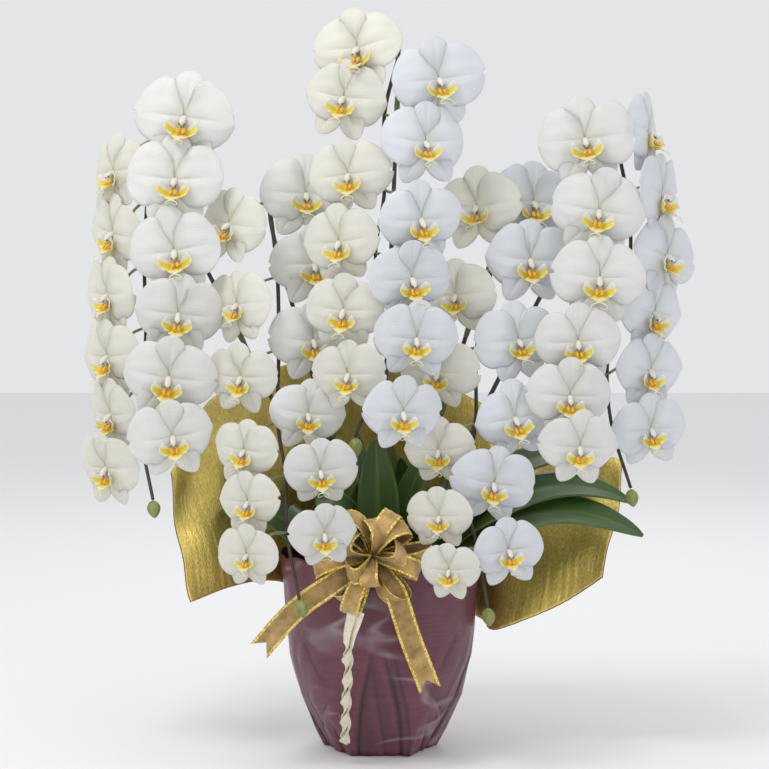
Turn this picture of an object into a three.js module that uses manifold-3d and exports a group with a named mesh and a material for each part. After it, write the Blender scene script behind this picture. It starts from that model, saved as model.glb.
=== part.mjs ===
// A gift orchid: five moth orchid plants in one wrapped pot, each with an arching flower spike.
// Millimetres, +Z up, the front faces -Y, origin at the middle of the underside of the wrapping.
import * as THREE from 'three';
import { mergeVertices } from 'three/addons/utils/BufferGeometryUtils.js';
import Module from 'manifold-3d';

const wasm = await Module();
wasm.setup();

// ---------- driving dimensions ----------

const GAP = 0.4; // clearance between neighbouring pieces

// Outside of the wrapping: [height, radius], which every layer of the pot follows.
const POT_OUTLINE = [[0, 62], [20, 73], [60, 92], [110, 106], [170, 113], [230, 117]];
const WRAP_HEIGHT = 228;
const WRAP_WALL = 1.2;
const WRAP_PLEATS = 11;
const PLEAT_DEPTH = 2.2;
const FILM_WALL = 0.5;
const FILM_BASE = 3; // the film starts this far above the floor
const POT_HEIGHT = 205;
const POT_INSET = 6; // from the outside of the wrapping to the outside of the pot
const POT_WALL = 6;
const POT_FLOOR = 9;

const PLANT_COUNT = 5;
const FIRST_PLANT_ANGLE = 198; // degrees from +X, the left-hand plant
const PLANT_STEP = -72;
const PLANT_RING = 58; // distance of the crowns from the pot's axis
const ROOT_TOP = 175;
// Root ball sections: [height, distance from the pot's axis, radius].
const ROOT_SECTIONS = [[12, 33, 16], [60, 49, 27], [110, 56, 32], [ROOT_TOP, 58, 33]];
const MOSS_BASE = ROOT_TOP + GAP;
const MOSS_TOP = 193;
const MOSS_RADIUS = 96;
const CROWN_RADIUS = 9;
const CROWN_HEIGHT = 56;

const STEM_RADIUS = 3;
const STALK_RADIUS = 1.5;
const WIRE_RADIUS = 1.6;
const WIRE_OFFSET = STEM_RADIUS + WIRE_RADIUS + GAP + 0.3;
const WIRE_END_SHARE = 0.47; // the wire follows this much of the stem's way to its end
const WIRE_BOTTOM = 90;
const TIE_SHARE = 0.16;
const TIE_HEIGHT = 5;
const STEM_BEHIND = 38; // the stem runs this far behind the blooms
const STEM_STEPS = 42;
const STEM_STAND = 60; // the stem stands upright this far before it leans
const ARCH_TOP = [0, 34, 16]; // the top of the arch, from the stem behind the first blooms
const ARCH_BACK = [0, 76, -36]; // and the place where the rising stem turns over
const LIP_DROP = 13; // the lip hangs this far below a bloom's middle
const BLOOM_DEPTH = 1.7; // half the thickness at a bloom's middle
const LIP_SIDES = 6;
const LIP_WIDTH = 0.24; // the lip's width and reach, as shares of the bloom's width
const LIP_REACH = 0.2;

// Each spike: the places of the lips of its two ranks of blooms from the top down, as x and z, the
// depth y at the rank's two ends, the bloom width at its two ends, and how far the blooms turn
// to the side, in degrees, at its two ends. Then the bud at the end of the stem.
const SPIKES = [
  {
    left: {
      x: [-305, -305, -310, -310, -305, -310],
      z: [655, 585, 515, 445, 380, 320],
      y: [-20, -70],
      width: [100, 90],
      turn: [-50, -42],
    },
    right: {
      x: [-220, -230, -230, -225, -235, -230],
      z: [715, 645, 565, 495, 425, 360],
      y: [-60, -120],
      width: [112, 96],
      turn: [-6, 10],
    },
    bud: [-255, -92, 300],
  },
  {
    left: {
      x: [-170, -160, -155, -150, -145, -145],
      z: [595, 505, 425, 345, 290, 235],
      y: [-64, -166],
      width: [92, 72],
      turn: [-30, -24],
    },
    right: {
      x: [-85, -75, -75, -80, -65, -60],
      z: [630, 550, 465, 385, 325, 260],
      y: [-12, -184],
      width: [108, 76],
      turn: [6, 14],
    },
    bud: [-88, -172, 200],
  },
  {
    left: {
      x: [-25, -40, -35, -45, -40, -35],
      z: [790, 735, 650, 575, 500, 430],
      y: [-84, -132],
      width: [102, 84],
      turn: [-20, -12],
    },
    right: {
      x: [65, 50, 45, 35, 40, 25],
      z: [755, 685, 600, 535, 470, 390],
      y: [-96, -160],
      width: [104, 88],
      turn: [22, 8],
    },
    bud: [-28, -112, 372],
  },
  {
    left: {
      x: [110, 85, 65, 65, 65, 75],
      z: [615, 515, 430, 345, 275, 220],
      y: [-34, -182],
      width: [100, 68],
      turn: [-24, -18],
    },
    right: {
      x: [175, 170, 155, 150, 125, 140],
      z: [620, 555, 465, 380, 310, 240],
      y: [-24, -168],
      width: [106, 86],
      turn: [14, 14],
    },
    bud: [118, -150, 188],
  },
  {
    left: {
      x: [230, 245, 245, 220, 210, 220],
      z: [690, 610, 535, 465, 405, 350],
      y: [-70, -136],
      width: [110, 86],
      turn: [-8, 4],
    },
    right: {
      x: [305, 320, 325, 310, 305, 305],
      z: [700, 630, 560, 495, 430, 365],
      y: [-24, -78],
      width: [104, 90],
      turn: [60, 22],
    },
    bud: [282, -86, 312],
  },
];

// Half of a bloom's outline, from the dorsal sepal's tip round to the notch between the two lower
// sepals: [angle above +X in degrees, distance from the middle as a share of the width, lift].
// Lift is how far forward the edge stands, again as a share of the width.
const BLOOM_OUTLINE = [
  [90, 0.42, 0.03], [72, 0.38, 0.02], [62, 0.35, 0], [46, 0.41, 0.02], [18, 0.5, 0.04],
  [-4, 0.5, 0.03], [-28, 0.43, 0], [-46, 0.36, -0.02], [-62, 0.44, -0.05], [-90, 0.2, -0.02],
];

// Leaves of each plant: direction in degrees from +X, reach from the crown, height of the tip
// over the leaf's base, height of the arch at half way, width, and roll in degrees, which turns
// the face of the blade to the front.
const LEAVES = [
  [[176, 120, 68, 66, 60, -24], [232, 64, 60, 61, 51, -21], [2, 24, 132, 82, 40, 10]],
  [[150, 66, 96, 80, 54, 0], [312, 24, 120, 76, 36, 0], [204, 44, 150, 96, 42, 0]],
  [
    [190, 63, 86, 76, 59, -37], [2, 56, 156, 94, 52, 30], [263, 28, 150, 92, 49, 0],
    [140, 28, 150, 92, 26, 0],
  ],
  [[28, 72, 90, 78, 56, 0], [254, 26, 126, 78, 34, 0], [156, 26, 160, 96, 34, 0]],
  [
    [346, 238, 52, 72, 64, 30], [355, 222, 78, 88, 60, 30], [6, 188, 112, 106, 54, 28],
    [300, 66, 40, 50, 52, 20],
  ],
];
const LEAF_START = 11; // distance of a leaf's base from its crown's axis
const LEAF_BASE_Z = 204;
const LEAF_BASE_STEP = 7;
const LEAF_THICKNESS = 2.6;
const LEAF_STEPS = 8;

// The gold collar's lower and upper edge, from its left end round the back to its right end.
const COLLAR_LOWER = [
  [-212, -78, 183], [-168, -26, 192], [-127, 26, 190], [-84, 100, 165], [0, 132, 150],
  [84, 100, 150], [122, 30, 143], [134, -22, 140], [192, -40, 168], [252, -54, 208],
];
const COLLAR_UPPER = [
  [-242, -22, 322], [-206, 26, 396], [-160, 66, 420], [-92, 112, 445], [0, 150, 440],
  [100, 132, 404], [178, 92, 366], [236, 52, 346], [284, 14, 333],
];
const COLLAR_STEPS = 22;
const COLLAR_ROWS = 3;
const COLLAR_WALL = 1;
const COLLAR_BULGE = 10;

// The bow's loops: direction in degrees from +X in the front view, reach, how far the loop swells
// to the front, and how far it is turned about its own line, in degrees.
const BOW_CENTRE = [-8, -134, 242];
const BOW_LOOPS = [
  [132, 56, 22, 50], [62, 54, 20, -20], [8, 66, 18, 30], [34, 50, 24, -35], [98, 42, 28, 25],
  [168, 56, 20, -30], [196, 66, 20, 25], [222, 60, 26, -45], [250, 54, 24, 12], [312, 60, 24, 45],
  [340, 54, 26, -15], [45, 32, 40, 30], [185, 30, 38, -25], [275, 32, 36, 10], [110, 30, 38, -40],
];
// A loop's line out and back: [share of its reach, share of its swell].
const LOOP_LINE = [
  [0.03, 0.05], [0.26, 0.6], [0.6, 1], [0.86, 0.86], [1, 0.45], [0.95, 0.1], [0.7, -0.06],
  [0.35, -0.08], [0.04, 0],
];
const LOOP_STEPS = 10;
const RIBBON_WIDTH = 25;
const RIBBON_WALL = 0.8;
const LEFT_TAIL = [[-12, -134, 238], [-50, -146, 215], [-94, -148, 182], [-134, -146, 138]];
const RIGHT_TAIL = [[-2, -134, 238], [18, -146, 200], [34, -144, 150], [56, -136, 92]];
const KNOT_RADIUS = 9;

const PICK_RADIUS = 1.3;
const PICK_ROUTE = [[-8, -124, 244], [-6, -110, 244], [4, -98, 234], [10, -93, 214], [11, -92, 190]];

const CORD_RADIUS = 6;
const CORD_SIDES = 8;
const CORD_STEPS = 16;
const CORD_ROUTE = [
  [-26, -151, 183], [-29, -152, 172], [-33, -149, 158], [-35, -144, 144],
  [-36, -138, 130], [-36, -133, 118], [-36, -129, 106], [-37, -124.5, 94], [-38, -121, 82],
  [-38, -116.5, 70], [-39, -111.5, 58], [-39, -106, 46], [-40, -100, 35], [-40, -94, 24],
];

// ---------- finishes ----------

const finish = (color, roughness, metalness = 0) =>
  new THREE.MeshStandardMaterial({ color, roughness, metalness });
const PETAL = finish(0xf3f1e8, 0.6);
const LEAF = finish(0x24401c, 0.45);
const CROWN = finish(0x5d7a3a, 0.6);
const MAUVE = finish(0x6e4155, 0.45);
const FILM = finish(0xd8d4dc, 0.1);
const GOLD = finish(0xb4913c, 0.4, 0.8);
const ORGANZA = finish(0xc39a55, 0.5, 0.2);
const CREAM = finish(0xe6ddbb, 0.7);
const GLAZE = finish(0xf2efe9, 0.15);
const MOSS = finish(0x9a8a5e, 0.9);
const WIRE = finish(0x2d3526, 0.5);
const TIE = finish(0x3f6b35, 0.5);

// ---------- geometry helpers ----------

const vector = (point) => new THREE.Vector3(...point);
const radians = THREE.MathUtils.degToRad;
const lerp = THREE.MathUtils.lerp;

/** A closed solid from a list of rings of points, with a flat fan over each end. */
function loft(rings) {
  const points = rings.flat();
  const size = rings[0].length;
  const faces = [];
  for (let row = 0; row + 1 < rings.length; row += 1) {
    for (let i = 0; i < size; i += 1) {
      const a = row * size + i;
      const b = row * size + ((i + 1) % size);
      faces.push(a, b, a + size, b, b + size, a + size);
    }
  }
  for (const [row, turned] of [[0, true], [rings.length - 1, false]]) {
    const middle = new THREE.Vector3();
    rings[row].forEach((point) => middle.addScaledVector(point, 1 / size));
    const tip = points.push(middle) - 1;
    for (let i = 0; i < size; i += 1) {
      const a = row * size + i;
      const b = row * size + ((i + 1) % size);
      faces.push(...(turned ? [b, a, tip] : [a, b, tip]));
    }
  }
  return facingOut(points, faces);
}

/** An indexed geometry whose faces point out. */
function facingOut(points, faces) {
  let volume = 0;
  for (let i = 0; i < faces.length; i += 3) {
    const [a, b, c] = [points[faces[i]], points[faces[i + 1]], points[faces[i + 2]]];
    volume += a.dot(new THREE.Vector3().crossVectors(b, c));
  }
  const geometry = new THREE.BufferGeometry().setFromPoints(points);
  geometry.setIndex(volume > 0 ? faces : faces.reverse());
  return geometry;
}

/** The manifold solid of a closed geometry. */
function solid(geometry) {
  const bare = geometry.clone();
  bare.deleteAttribute('normal');
  bare.deleteAttribute('uv');
  const merged = mergeVertices(bare, 1e-4);
  return new wasm.Manifold(
    new wasm.Mesh({
      numProp: 3,
      vertProperties: new Float32Array(merged.attributes.position.array),
      triVerts: new Uint32Array(merged.index.array),
    }),
  );
}

/** The geometry of a manifold solid. */
function geometryOf(body) {
  const mesh = body.getMesh();
  const geometry = new THREE.BufferGeometry();
  geometry.setAttribute('position', new THREE.BufferAttribute(mesh.vertProperties, 3));
  geometry.setIndex(new THREE.BufferAttribute(mesh.triVerts, 1));
  return geometry;
}

/** One solid from several that touch, with any sealed pocket between them filled. */
function joined(geometries) {
  const whole = geometries.map(solid).reduce((sum, body) => sum.add(body));
  const shells = whole.decompose().sort((a, b) => b.volume() - a.volume());
  if (shells.length > 1 && shells[1].volume() > 0) throw new Error('a piece is not joined on');
  return geometryOf(shells[0]);
}

function roundSection(radius, sides) {
  const shape = new THREE.Shape();
  for (let i = 0; i < sides; i += 1) {
    const angle = (2 * Math.PI * i) / sides;
    const point = [radius * Math.cos(angle), radius * Math.sin(angle)];
    if (i === 0) shape.moveTo(...point);
    else shape.lineTo(...point);
  }
  return shape;
}

function tube(points, radius, sides, steps) {
  const extrudePath = new THREE.CatmullRomCurve3(points);
  return new THREE.ExtrudeGeometry(roundSection(radius, sides), { steps, extrudePath });
}

function rod(from, to, radius, sides) {
  const extrudePath = new THREE.LineCurve3(from, to);
  return new THREE.ExtrudeGeometry(roundSection(radius, sides), { steps: 1, extrudePath });
}

function part(name, geometry, material) {
  const mesh = new THREE.Mesh(geometry, material);
  mesh.name = name;
  return mesh;
}

/** A straight-line reading of a table of [key, value, ...] rows at a key. */
function read(table, key, column = 1) {
  const last = table.findIndex((row) => row[0] >= key);
  const high = last < 0 ? table.length - 1 : Math.max(last, 1);
  const [from, to] = [table[high - 1], table[high]];
  return lerp(from[column], to[column], (key - from[0]) / (to[0] - from[0]));
}

// ---------- pot, wrapping and roots ----------

/** Radius of the wrapping's outside: pleats that open out from the pot's base. */
function wrapRadius(angle, z) {
  const pleat = Math.abs(((angle * WRAP_PLEATS) / (2 * Math.PI)) % 1 - 0.5) * 2;
  return read(POT_OUTLINE, z) - PLEAT_DEPTH * (1 - pleat);
}

/** A thin cup that follows the wrapping's outside at an inset, with or without a floor. */
function wrapLayer(inset, wall, base, top, hasFloor) {
  const sides = WRAP_PLEATS * 2;
  const heights = [base, 20, 60, 110, 170, top];
  const ring = (z, depth) =>
    Array.from({ length: sides }, (_, i) => {
      const angle = (2 * Math.PI * i) / sides;
      const radius = wrapRadius(angle, z) - depth;
      return new THREE.Vector3(radius * Math.cos(angle), radius * Math.sin(angle), z);
    });
  const outside = heights.map((z) => ring(z, inset));
  const inside = heights.map((z) => ring(z, inset + wall)).reverse();
  if (!hasFloor) return closedBand([...outside, ...inside]);
  inside[inside.length - 1].forEach((point) => point.setZ(base + wall));
  return loft([...outside, ...inside]);
}

/** A closed band: rings joined round, the last one back to the first. */
function closedBand(rings) {
  const size = rings[0].length;
  const faces = [];
  rings.forEach((_, row) => {
    const next = ((row + 1) % rings.length) * size;
    for (let i = 0; i < size; i += 1) {
      const j = (i + 1) % size;
      faces.push(row * size + i, row * size + j, next + i, row * size + j, next + j, next + i);
    }
  });
  return facingOut(rings.flat(), faces);
}

function ceramicPot() {
  const outer = (z) => read(POT_OUTLINE, z) - POT_INSET;
  const base = WRAP_WALL + GAP;
  const heights = [base, 20, 60, 110, 170, POT_HEIGHT];
  const profile = [
    new THREE.Vector2(0, base),
    ...heights.map((z) => new THREE.Vector2(outer(z), z)),
    ...heights
      .slice(1)
      .reverse()
      .map((z) => new THREE.Vector2(outer(z) - POT_WALL, z)),
    new THREE.Vector2(outer(POT_FLOOR) - POT_WALL - 2, POT_FLOOR),
    new THREE.Vector2(0, POT_FLOOR),
  ];
  return facingLathe(profile, 22);
}

/** A lathe about +Z of a profile that starts and ends on the axis. */
function facingLathe(profile, segments) {
  const geometry = new THREE.LatheGeometry(profile, segments);
  geometry.rotateX(Math.PI / 2);
  return geometryOf(solid(geometry));
}

const plantAngle = (index) => radians(FIRST_PLANT_ANGLE + PLANT_STEP * PLANT_ORDER[index]);
// Spikes are numbered from left to right: left, back left, front, back right, right.
const PLANT_ORDER = [0, 1, 4, 2, 3];

function crownPlace(index) {
  const angle = plantAngle(index);
  return new THREE.Vector3(PLANT_RING * Math.cos(angle), PLANT_RING * Math.sin(angle), ROOT_TOP);
}

function circle(x, y, z, radius, sides) {
  return Array.from({ length: sides }, (_, i) => {
    const angle = (2 * Math.PI * i) / sides;
    return new THREE.Vector3(x + radius * Math.cos(angle), y + radius * Math.sin(angle), z);
  });
}

function column(place, radius, from, to, sides) {
  return loft([from, to].map((z) => circle(place.x, place.y, z, radius, sides)));
}

function rootBall(index) {
  const angle = plantAngle(index);
  const rings = ROOT_SECTIONS.map(([z, distance, radius]) =>
    circle(distance * Math.cos(angle), distance * Math.sin(angle), z, radius, 10),
  );
  const wireHole = column(wireFoot(index), WIRE_RADIUS + GAP + 0.2, WIRE_BOTTOM - 2, ROOT_TOP + 5, 6);
  return geometryOf(solid(loft(rings)).subtract(solid(wireHole)));
}

function mossCover() {
  const profile = [
    [0, MOSS_BASE], [MOSS_RADIUS, MOSS_BASE], [MOSS_RADIUS, MOSS_TOP - 8],
    [MOSS_RADIUS * 0.7, MOSS_TOP - 1], [0, MOSS_TOP],
  ].map((point) => new THREE.Vector2(...point));
  let body = solid(facingLathe(profile, 20));
  SPIKES.forEach((_, index) => {
    const place = crownPlace(index);
    const low = MOSS_BASE - 5;
    const high = MOSS_TOP + 5;
    body = body.subtract(solid(column(place, CROWN_RADIUS + 1.2, low, high, 8)));
    body = body.subtract(solid(column(wireFoot(index), WIRE_RADIUS + GAP + 0.2, low, high, 6)));
  });
  return geometryOf(body);
}

function crown(index) {
  const { x, y } = crownPlace(index);
  const sections = [[0, 0.8], [0.35, 1], [0.8, 0.85], [1, 0.3]];
  const base = ROOT_TOP + GAP;
  return loft(
    sections.map(([share, width]) =>
      circle(x, y, base + share * CROWN_HEIGHT, width * CROWN_RADIUS, 8),
    ),
  );
}

// ---------- flower spikes ----------

/** Place, width and turn of the six blooms of a rank. */
function rankBlooms(rank) {
  const last = rank.x.length - 1;
  return rank.x.map((x, i) => ({
    place: new THREE.Vector3(x, lerp(...rank.y, i / last), rank.z[i] + LIP_DROP),
    width: lerp(...rank.width, i / last),
    turn: radians(lerp(...rank.turn, i / last)),
    nod: radians(lerp(-2, 9, i / last)),
  }));
}

/** The way the stem takes: up from the crown, over an arch, and down behind the blooms. */
function stemPoints(index) {
  const spike = SPIKES[index];
  const lefts = rankBlooms(spike.left);
  const rights = rankBlooms(spike.right);
  const behind = lefts.map(({ place }, i) =>
    place.clone().lerp(rights[i].place, 0.5).add(new THREE.Vector3(0, STEM_BEHIND, 8)),
  );
  const foot = stemFoot(index);
  const top = behind[0].clone().add(vector(ARCH_TOP));
  const turning = behind[0].clone().add(vector(ARCH_BACK));
  const low = foot.clone().add(new THREE.Vector3(0, 4, STEM_STAND));
  const rise = low.clone().lerp(turning, 0.5).add(new THREE.Vector3(0, 14, 0));
  return [foot, low, rise, turning, top, ...behind, vector(spike.bud)];
}

/** Spikes leave the crown on the side that faces the back of the pot. */
function stemFoot(index) {
  const place = crownPlace(index);
  return new THREE.Vector3(place.x, place.y + CROWN_RADIUS + STEM_RADIUS + 2, MOSS_TOP + 6);
}

function wireFoot(index) {
  return stemFoot(index).add(new THREE.Vector3(0, WIRE_OFFSET, 0));
}

/** A star-shaped plate of five tepals with the lip as a blunt cone at its middle. */
function bloom({ place, width, turn, nod }) {
  const half = BLOOM_OUTLINE.map(([angle, share, lift]) => [
    width * share * Math.cos(radians(angle)), -width * lift, width * share * Math.sin(radians(angle)),
  ]);
  const other = half.slice(1, -1).reverse().map(([x, y, z]) => [-x, y, z]);
  const outline = [...half, ...other].map(vector);
  const size = outline.length;
  const perSide = size / LIP_SIDES;
  const lipRing = Array.from({ length: LIP_SIDES }, (_, i) =>
    outline[i * perSide].clone().setLength(width * LIP_WIDTH / 2).setY(-BLOOM_DEPTH),
  );
  const lipTip = new THREE.Vector3(0, -width * LIP_REACH, -width * 0.06);
  const back = new THREE.Vector3(0, BLOOM_DEPTH, 0);
  const points = [...outline, ...lipRing, lipTip, back];
  const [tip, rear] = [size + LIP_SIDES, size + LIP_SIDES + 1];
  const faces = [];
  for (let i = 0; i < size; i += 1) {
    const j = (i + 1) % size;
    const inner = size + (Math.round((i + 0.5) / perSide) % LIP_SIDES);
    faces.push(i, j, inner, j, i, rear);
  }
  for (let k = 0; k < LIP_SIDES; k += 1) {
    const next = (k + 1) % LIP_SIDES;
    const seam = k * perSide + Math.floor(perSide / 2);
    faces.push(size + k, seam, size + next, size + k, size + next, tip);
  }
  const pose = new THREE.Matrix4()
    .makeTranslation(...place.toArray())
    .multiply(new THREE.Matrix4().makeRotationZ(turn))
    .multiply(new THREE.Matrix4().makeRotationX(nod));
  return facingOut(points, faces).applyMatrix4(pose);
}

function flowerStalk(stemPoint, { place, turn }) {
  const end = place.clone().add(new THREE.Vector3(-Math.sin(turn), Math.cos(turn), 0));
  return rod(stemPoint, end, STALK_RADIUS, 3);
}

function bud(place) {
  const sections = [[14, 1.5], [9, 7], [0, 9.5], [-9, 7], [-15, 1.5]];
  return loft(sections.map(([z, radius]) => circle(place.x, place.y, place.z + z, radius, 7)));
}

function flowerSpike(index) {
  const spike = SPIKES[index];
  const points = stemPoints(index);
  const pieces = [tube(points, STEM_RADIUS, 5, STEM_STEPS), bud(vector(spike.bud))];
  const firstBloom = points.length - 1 - spike.left.x.length;
  for (const rank of [spike.left, spike.right].map(rankBlooms)) {
    rank.forEach((flower, i) => {
      pieces.push(bloom(flower), flowerStalk(points[firstBloom + i], flower));
    });
  }
  return joined(pieces);
}

/** The support wire runs on the outer side of the stem's arch. */
function wireRoute(index) {
  const curve = new THREE.CatmullRomCurve3(stemPoints(index));
  const steps = 15;
  const route = Array.from({ length: steps + 1 }, (_, i) => {
    const share = (WIRE_END_SHARE * i) / steps;
    return curve.getPointAt(share).addScaledVector(outerSide(curve, share), WIRE_OFFSET);
  });
  const foot = wireFoot(index);
  const below = [WIRE_BOTTOM, (WIRE_BOTTOM + MOSS_TOP) / 2].map((z) => foot.clone().setZ(z));
  return [...below, ...route];
}

function outerSide(curve, share) {
  const along = curve.getTangentAt(share);
  return along.cross(new THREE.Vector3(1, 0, 0)).normalize();
}

function supportWire(index) {
  return tube(wireRoute(index), WIRE_RADIUS, 5, 20);
}

/** A flat oval band round the stem and its wire. */
function stemTie(index) {
  const curve = new THREE.CatmullRomCurve3(stemPoints(index));
  const oval = (halfWidth, halfLength) => {
    const shape = new THREE.Shape();
    shape.absellipse(0, 0, halfWidth, halfLength, 0, 2 * Math.PI);
    return shape;
  };
  const section = oval(6.6, 9);
  section.holes.push(new THREE.Path(oval(5, 7.4).getPoints(4)));
  const band = new THREE.ExtrudeGeometry(section, {
    depth: TIE_HEIGHT,
    bevelEnabled: false,
    curveSegments: 4,
  });
  const along = curve.getTangentAt(TIE_SHARE);
  const out = outerSide(curve, TIE_SHARE);
  const across = new THREE.Vector3().crossVectors(out, along);
  const place = curve.getPointAt(TIE_SHARE).addScaledVector(out, WIRE_OFFSET / 2 - 0.6);
  const pose = new THREE.Matrix4().makeBasis(across, out, along).setPosition(place);
  return band.applyMatrix4(pose);
}

// ---------- leaves ----------

function leaf(plant, order) {
  const [direction, reach, tipRise, archRise, width, roll] = LEAVES[plant][order];
  const angle = radians(direction);
  const out = new THREE.Vector3(Math.cos(angle), Math.sin(angle), 0);
  const base = crownPlace(plant).setZ(LEAF_BASE_Z + LEAF_BASE_STEP * order);
  const at = (distance, rise) =>
    base.clone().addScaledVector(out, distance).add(new THREE.Vector3(0, 0, rise));
  const spine = new THREE.QuadraticBezierCurve3(
    at(LEAF_START, 0),
    at(LEAF_START + reach * 0.45, 2 * archRise - tipRise / 2),
    at(LEAF_START + reach, tipRise),
  );
  const level = new THREE.Vector3(-Math.sin(angle), Math.cos(angle), 0);
  const rings = [];
  for (let i = 0; i <= LEAF_STEPS; i += 1) {
    const share = i / LEAF_STEPS;
    const middle = spine.getPointAt(share);
    const along = spine.getTangentAt(share);
    const across = level.clone().applyAxisAngle(along, radians(roll) * Math.min(1, share * 2.5));
    const up = new THREE.Vector3().crossVectors(along, across);
    const half = (width / 2) * leafWidth(share);
    const edge = (side) =>
      middle.clone().addScaledVector(across, side * half).addScaledVector(up, half * 0.22);
    rings.push([
      edge(1),
      middle.clone().addScaledVector(up, -LEAF_THICKNESS / 2),
      edge(-1),
      middle.clone().addScaledVector(up, LEAF_THICKNESS / 2),
    ]);
  }
  return loft(rings);
}

/** Share of the full width along a leaf: a narrow foot, a broad middle and a blunt tip. */
function leafWidth(share) {
  const foot = 0.26;
  const swell = Math.sin(Math.PI * Math.min(1, share ** 0.8)) ** 0.6;
  return Math.max(swell, share < 0.5 ? foot : 0.1);
}

// ---------- gold collar and its backing ----------

/** The collar's grid of points, pushed out along its normal by a distance. */
function collarGrid(distance) {
  const lower = new THREE.CatmullRomCurve3(COLLAR_LOWER.map(vector));
  const upper = new THREE.CatmullRomCurve3(COLLAR_UPPER.map(vector));
  const at = (u, v) => {
    const bulge = COLLAR_BULGE * Math.sin(Math.PI * v);
    const point = lower.getPoint(u).lerp(upper.getPoint(u), v);
    return point.add(new THREE.Vector3(0, 0, -bulge));
  };
  const grid = [];
  for (let row = 0; row <= COLLAR_ROWS; row += 1) {
    const line = [];
    for (let i = 0; i <= COLLAR_STEPS; i += 1) {
      const [u, v] = [i / COLLAR_STEPS, row / COLLAR_ROWS];
      const [u0, u1] = [Math.max(0, u - 0.01), Math.min(1, u + 0.01)];
      const [v0, v1] = [Math.max(0, v - 0.01), Math.min(1, v + 0.01)];
      const along = at(u1, v).sub(at(u0, v));
      const up = at(u, v1).sub(at(u, v0));
      const out = along.cross(up).normalize().negate();
      line.push(at(u, v).addScaledVector(out, distance));
    }
    grid.push(line);
  }
  return grid;
}

/** A sheet with a wall between two grids of points, split along the same diagonals. */
function sheet(inner, outer) {
  const [rows, columns] = [inner.length, inner[0].length];
  const count = rows * columns;
  const faces = [];
  for (let row = 0; row + 1 < rows; row += 1) {
    for (let i = 0; i + 1 < columns; i += 1) {
      const [a, b] = [row * columns + i, row * columns + i + 1];
      const [c, d] = [a + columns, b + columns];
      faces.push(a, b, d, a, d, c);
      faces.push(count + d, count + b, count + a, count + c, count + d, count + a);
    }
  }
  const rim = [
    ...Array.from({ length: columns - 1 }, (_, i) => i),
    ...Array.from({ length: rows - 1 }, (_, row) => row * columns + columns - 1),
    ...Array.from({ length: columns - 1 }, (_, i) => count - 1 - i),
    ...Array.from({ length: rows - 1 }, (_, row) => (rows - 1 - row) * columns),
  ];
  rim.forEach((a, i) => {
    const b = rim[(i + 1) % rim.length];
    faces.push(b, a, count + a, b, count + a, count + b);
  });
  return facingOut([...inner.flat(), ...outer.flat()], faces);
}

const goldCollar = () => sheet(collarGrid(0), collarGrid(COLLAR_WALL));
const collarBacking = () => {
  const inner = COLLAR_WALL + GAP;
  return sheet(collarGrid(inner), collarGrid(inner + COLLAR_WALL));
};

// ---------- bow ----------

/** A flat ribbon along points, with its width at each share of the way along a direction. */
function ribbon(points, across, widthAt, steps) {
  const curve = new THREE.CatmullRomCurve3(points);
  const rings = [];
  for (let i = 0; i <= steps; i += 1) {
    const share = i / steps;
    const middle = curve.getPoint(share);
    const along = curve.getTangent(share);
    const side = across.clone().addScaledVector(along, -across.dot(along)).normalize();
    const up = new THREE.Vector3().crossVectors(along, side);
    const corner = (a, b) =>
      middle
        .clone()
        .addScaledVector(side, (a * widthAt(share)) / 2)
        .addScaledVector(up, (b * RIBBON_WALL) / 2);
    rings.push([corner(1, 1), corner(-1, 1), corner(-1, -1), corner(1, -1)]);
  }
  return loft(rings);
}

/** One loop of the bow: out from the middle to the front, and back underneath. */
function bowLoop([direction, reach, swell, turn]) {
  const angle = radians(direction);
  const out = new THREE.Vector3(Math.cos(angle), 0, Math.sin(angle));
  const across = new THREE.Vector3(-Math.sin(angle), 0, Math.cos(angle));
  across.applyAxisAngle(out, radians(turn));
  const forward = new THREE.Vector3(0, -1, 0).applyAxisAngle(out, radians(turn));
  const points = LOOP_LINE.map(([far, high]) =>
    vector(BOW_CENTRE).addScaledVector(out, reach * far).addScaledVector(forward, swell * high),
  );
  const gathered = (share) => RIBBON_WIDTH * (0.24 + 0.6 * Math.sin(Math.PI * share));
  return ribbon(points, across, gathered, LOOP_STEPS);
}

/** Both notched tails and all the loops are one ribbon, gathered at the middle. */
function bowRibbon() {
  const middle = new THREE.IcosahedronGeometry(KNOT_RADIUS, 0);
  middle.translate(...BOW_CENTRE);
  const tails = [LEFT_TAIL, RIGHT_TAIL].map((points) => {
    const run = points.map(vector);
    const along = run[3].clone().sub(run[0]);
    const across = new THREE.Vector3(0, 1, 0).cross(along).normalize();
    const widening = (share) => RIBBON_WIDTH * Math.min(1, 0.3 + 3 * share);
    return ribbon(run, across, widening, 8);
  });
  return joined([middle, ...BOW_LOOPS.map(bowLoop), ...tails]);
}

const bowPick = () => tube(PICK_ROUTE.map(vector), PICK_RADIUS, 6, 12);
const twistedCord = () => tube(CORD_ROUTE.map(vector), CORD_RADIUS, CORD_SIDES, CORD_STEPS);

// ---------- assembly ----------

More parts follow.
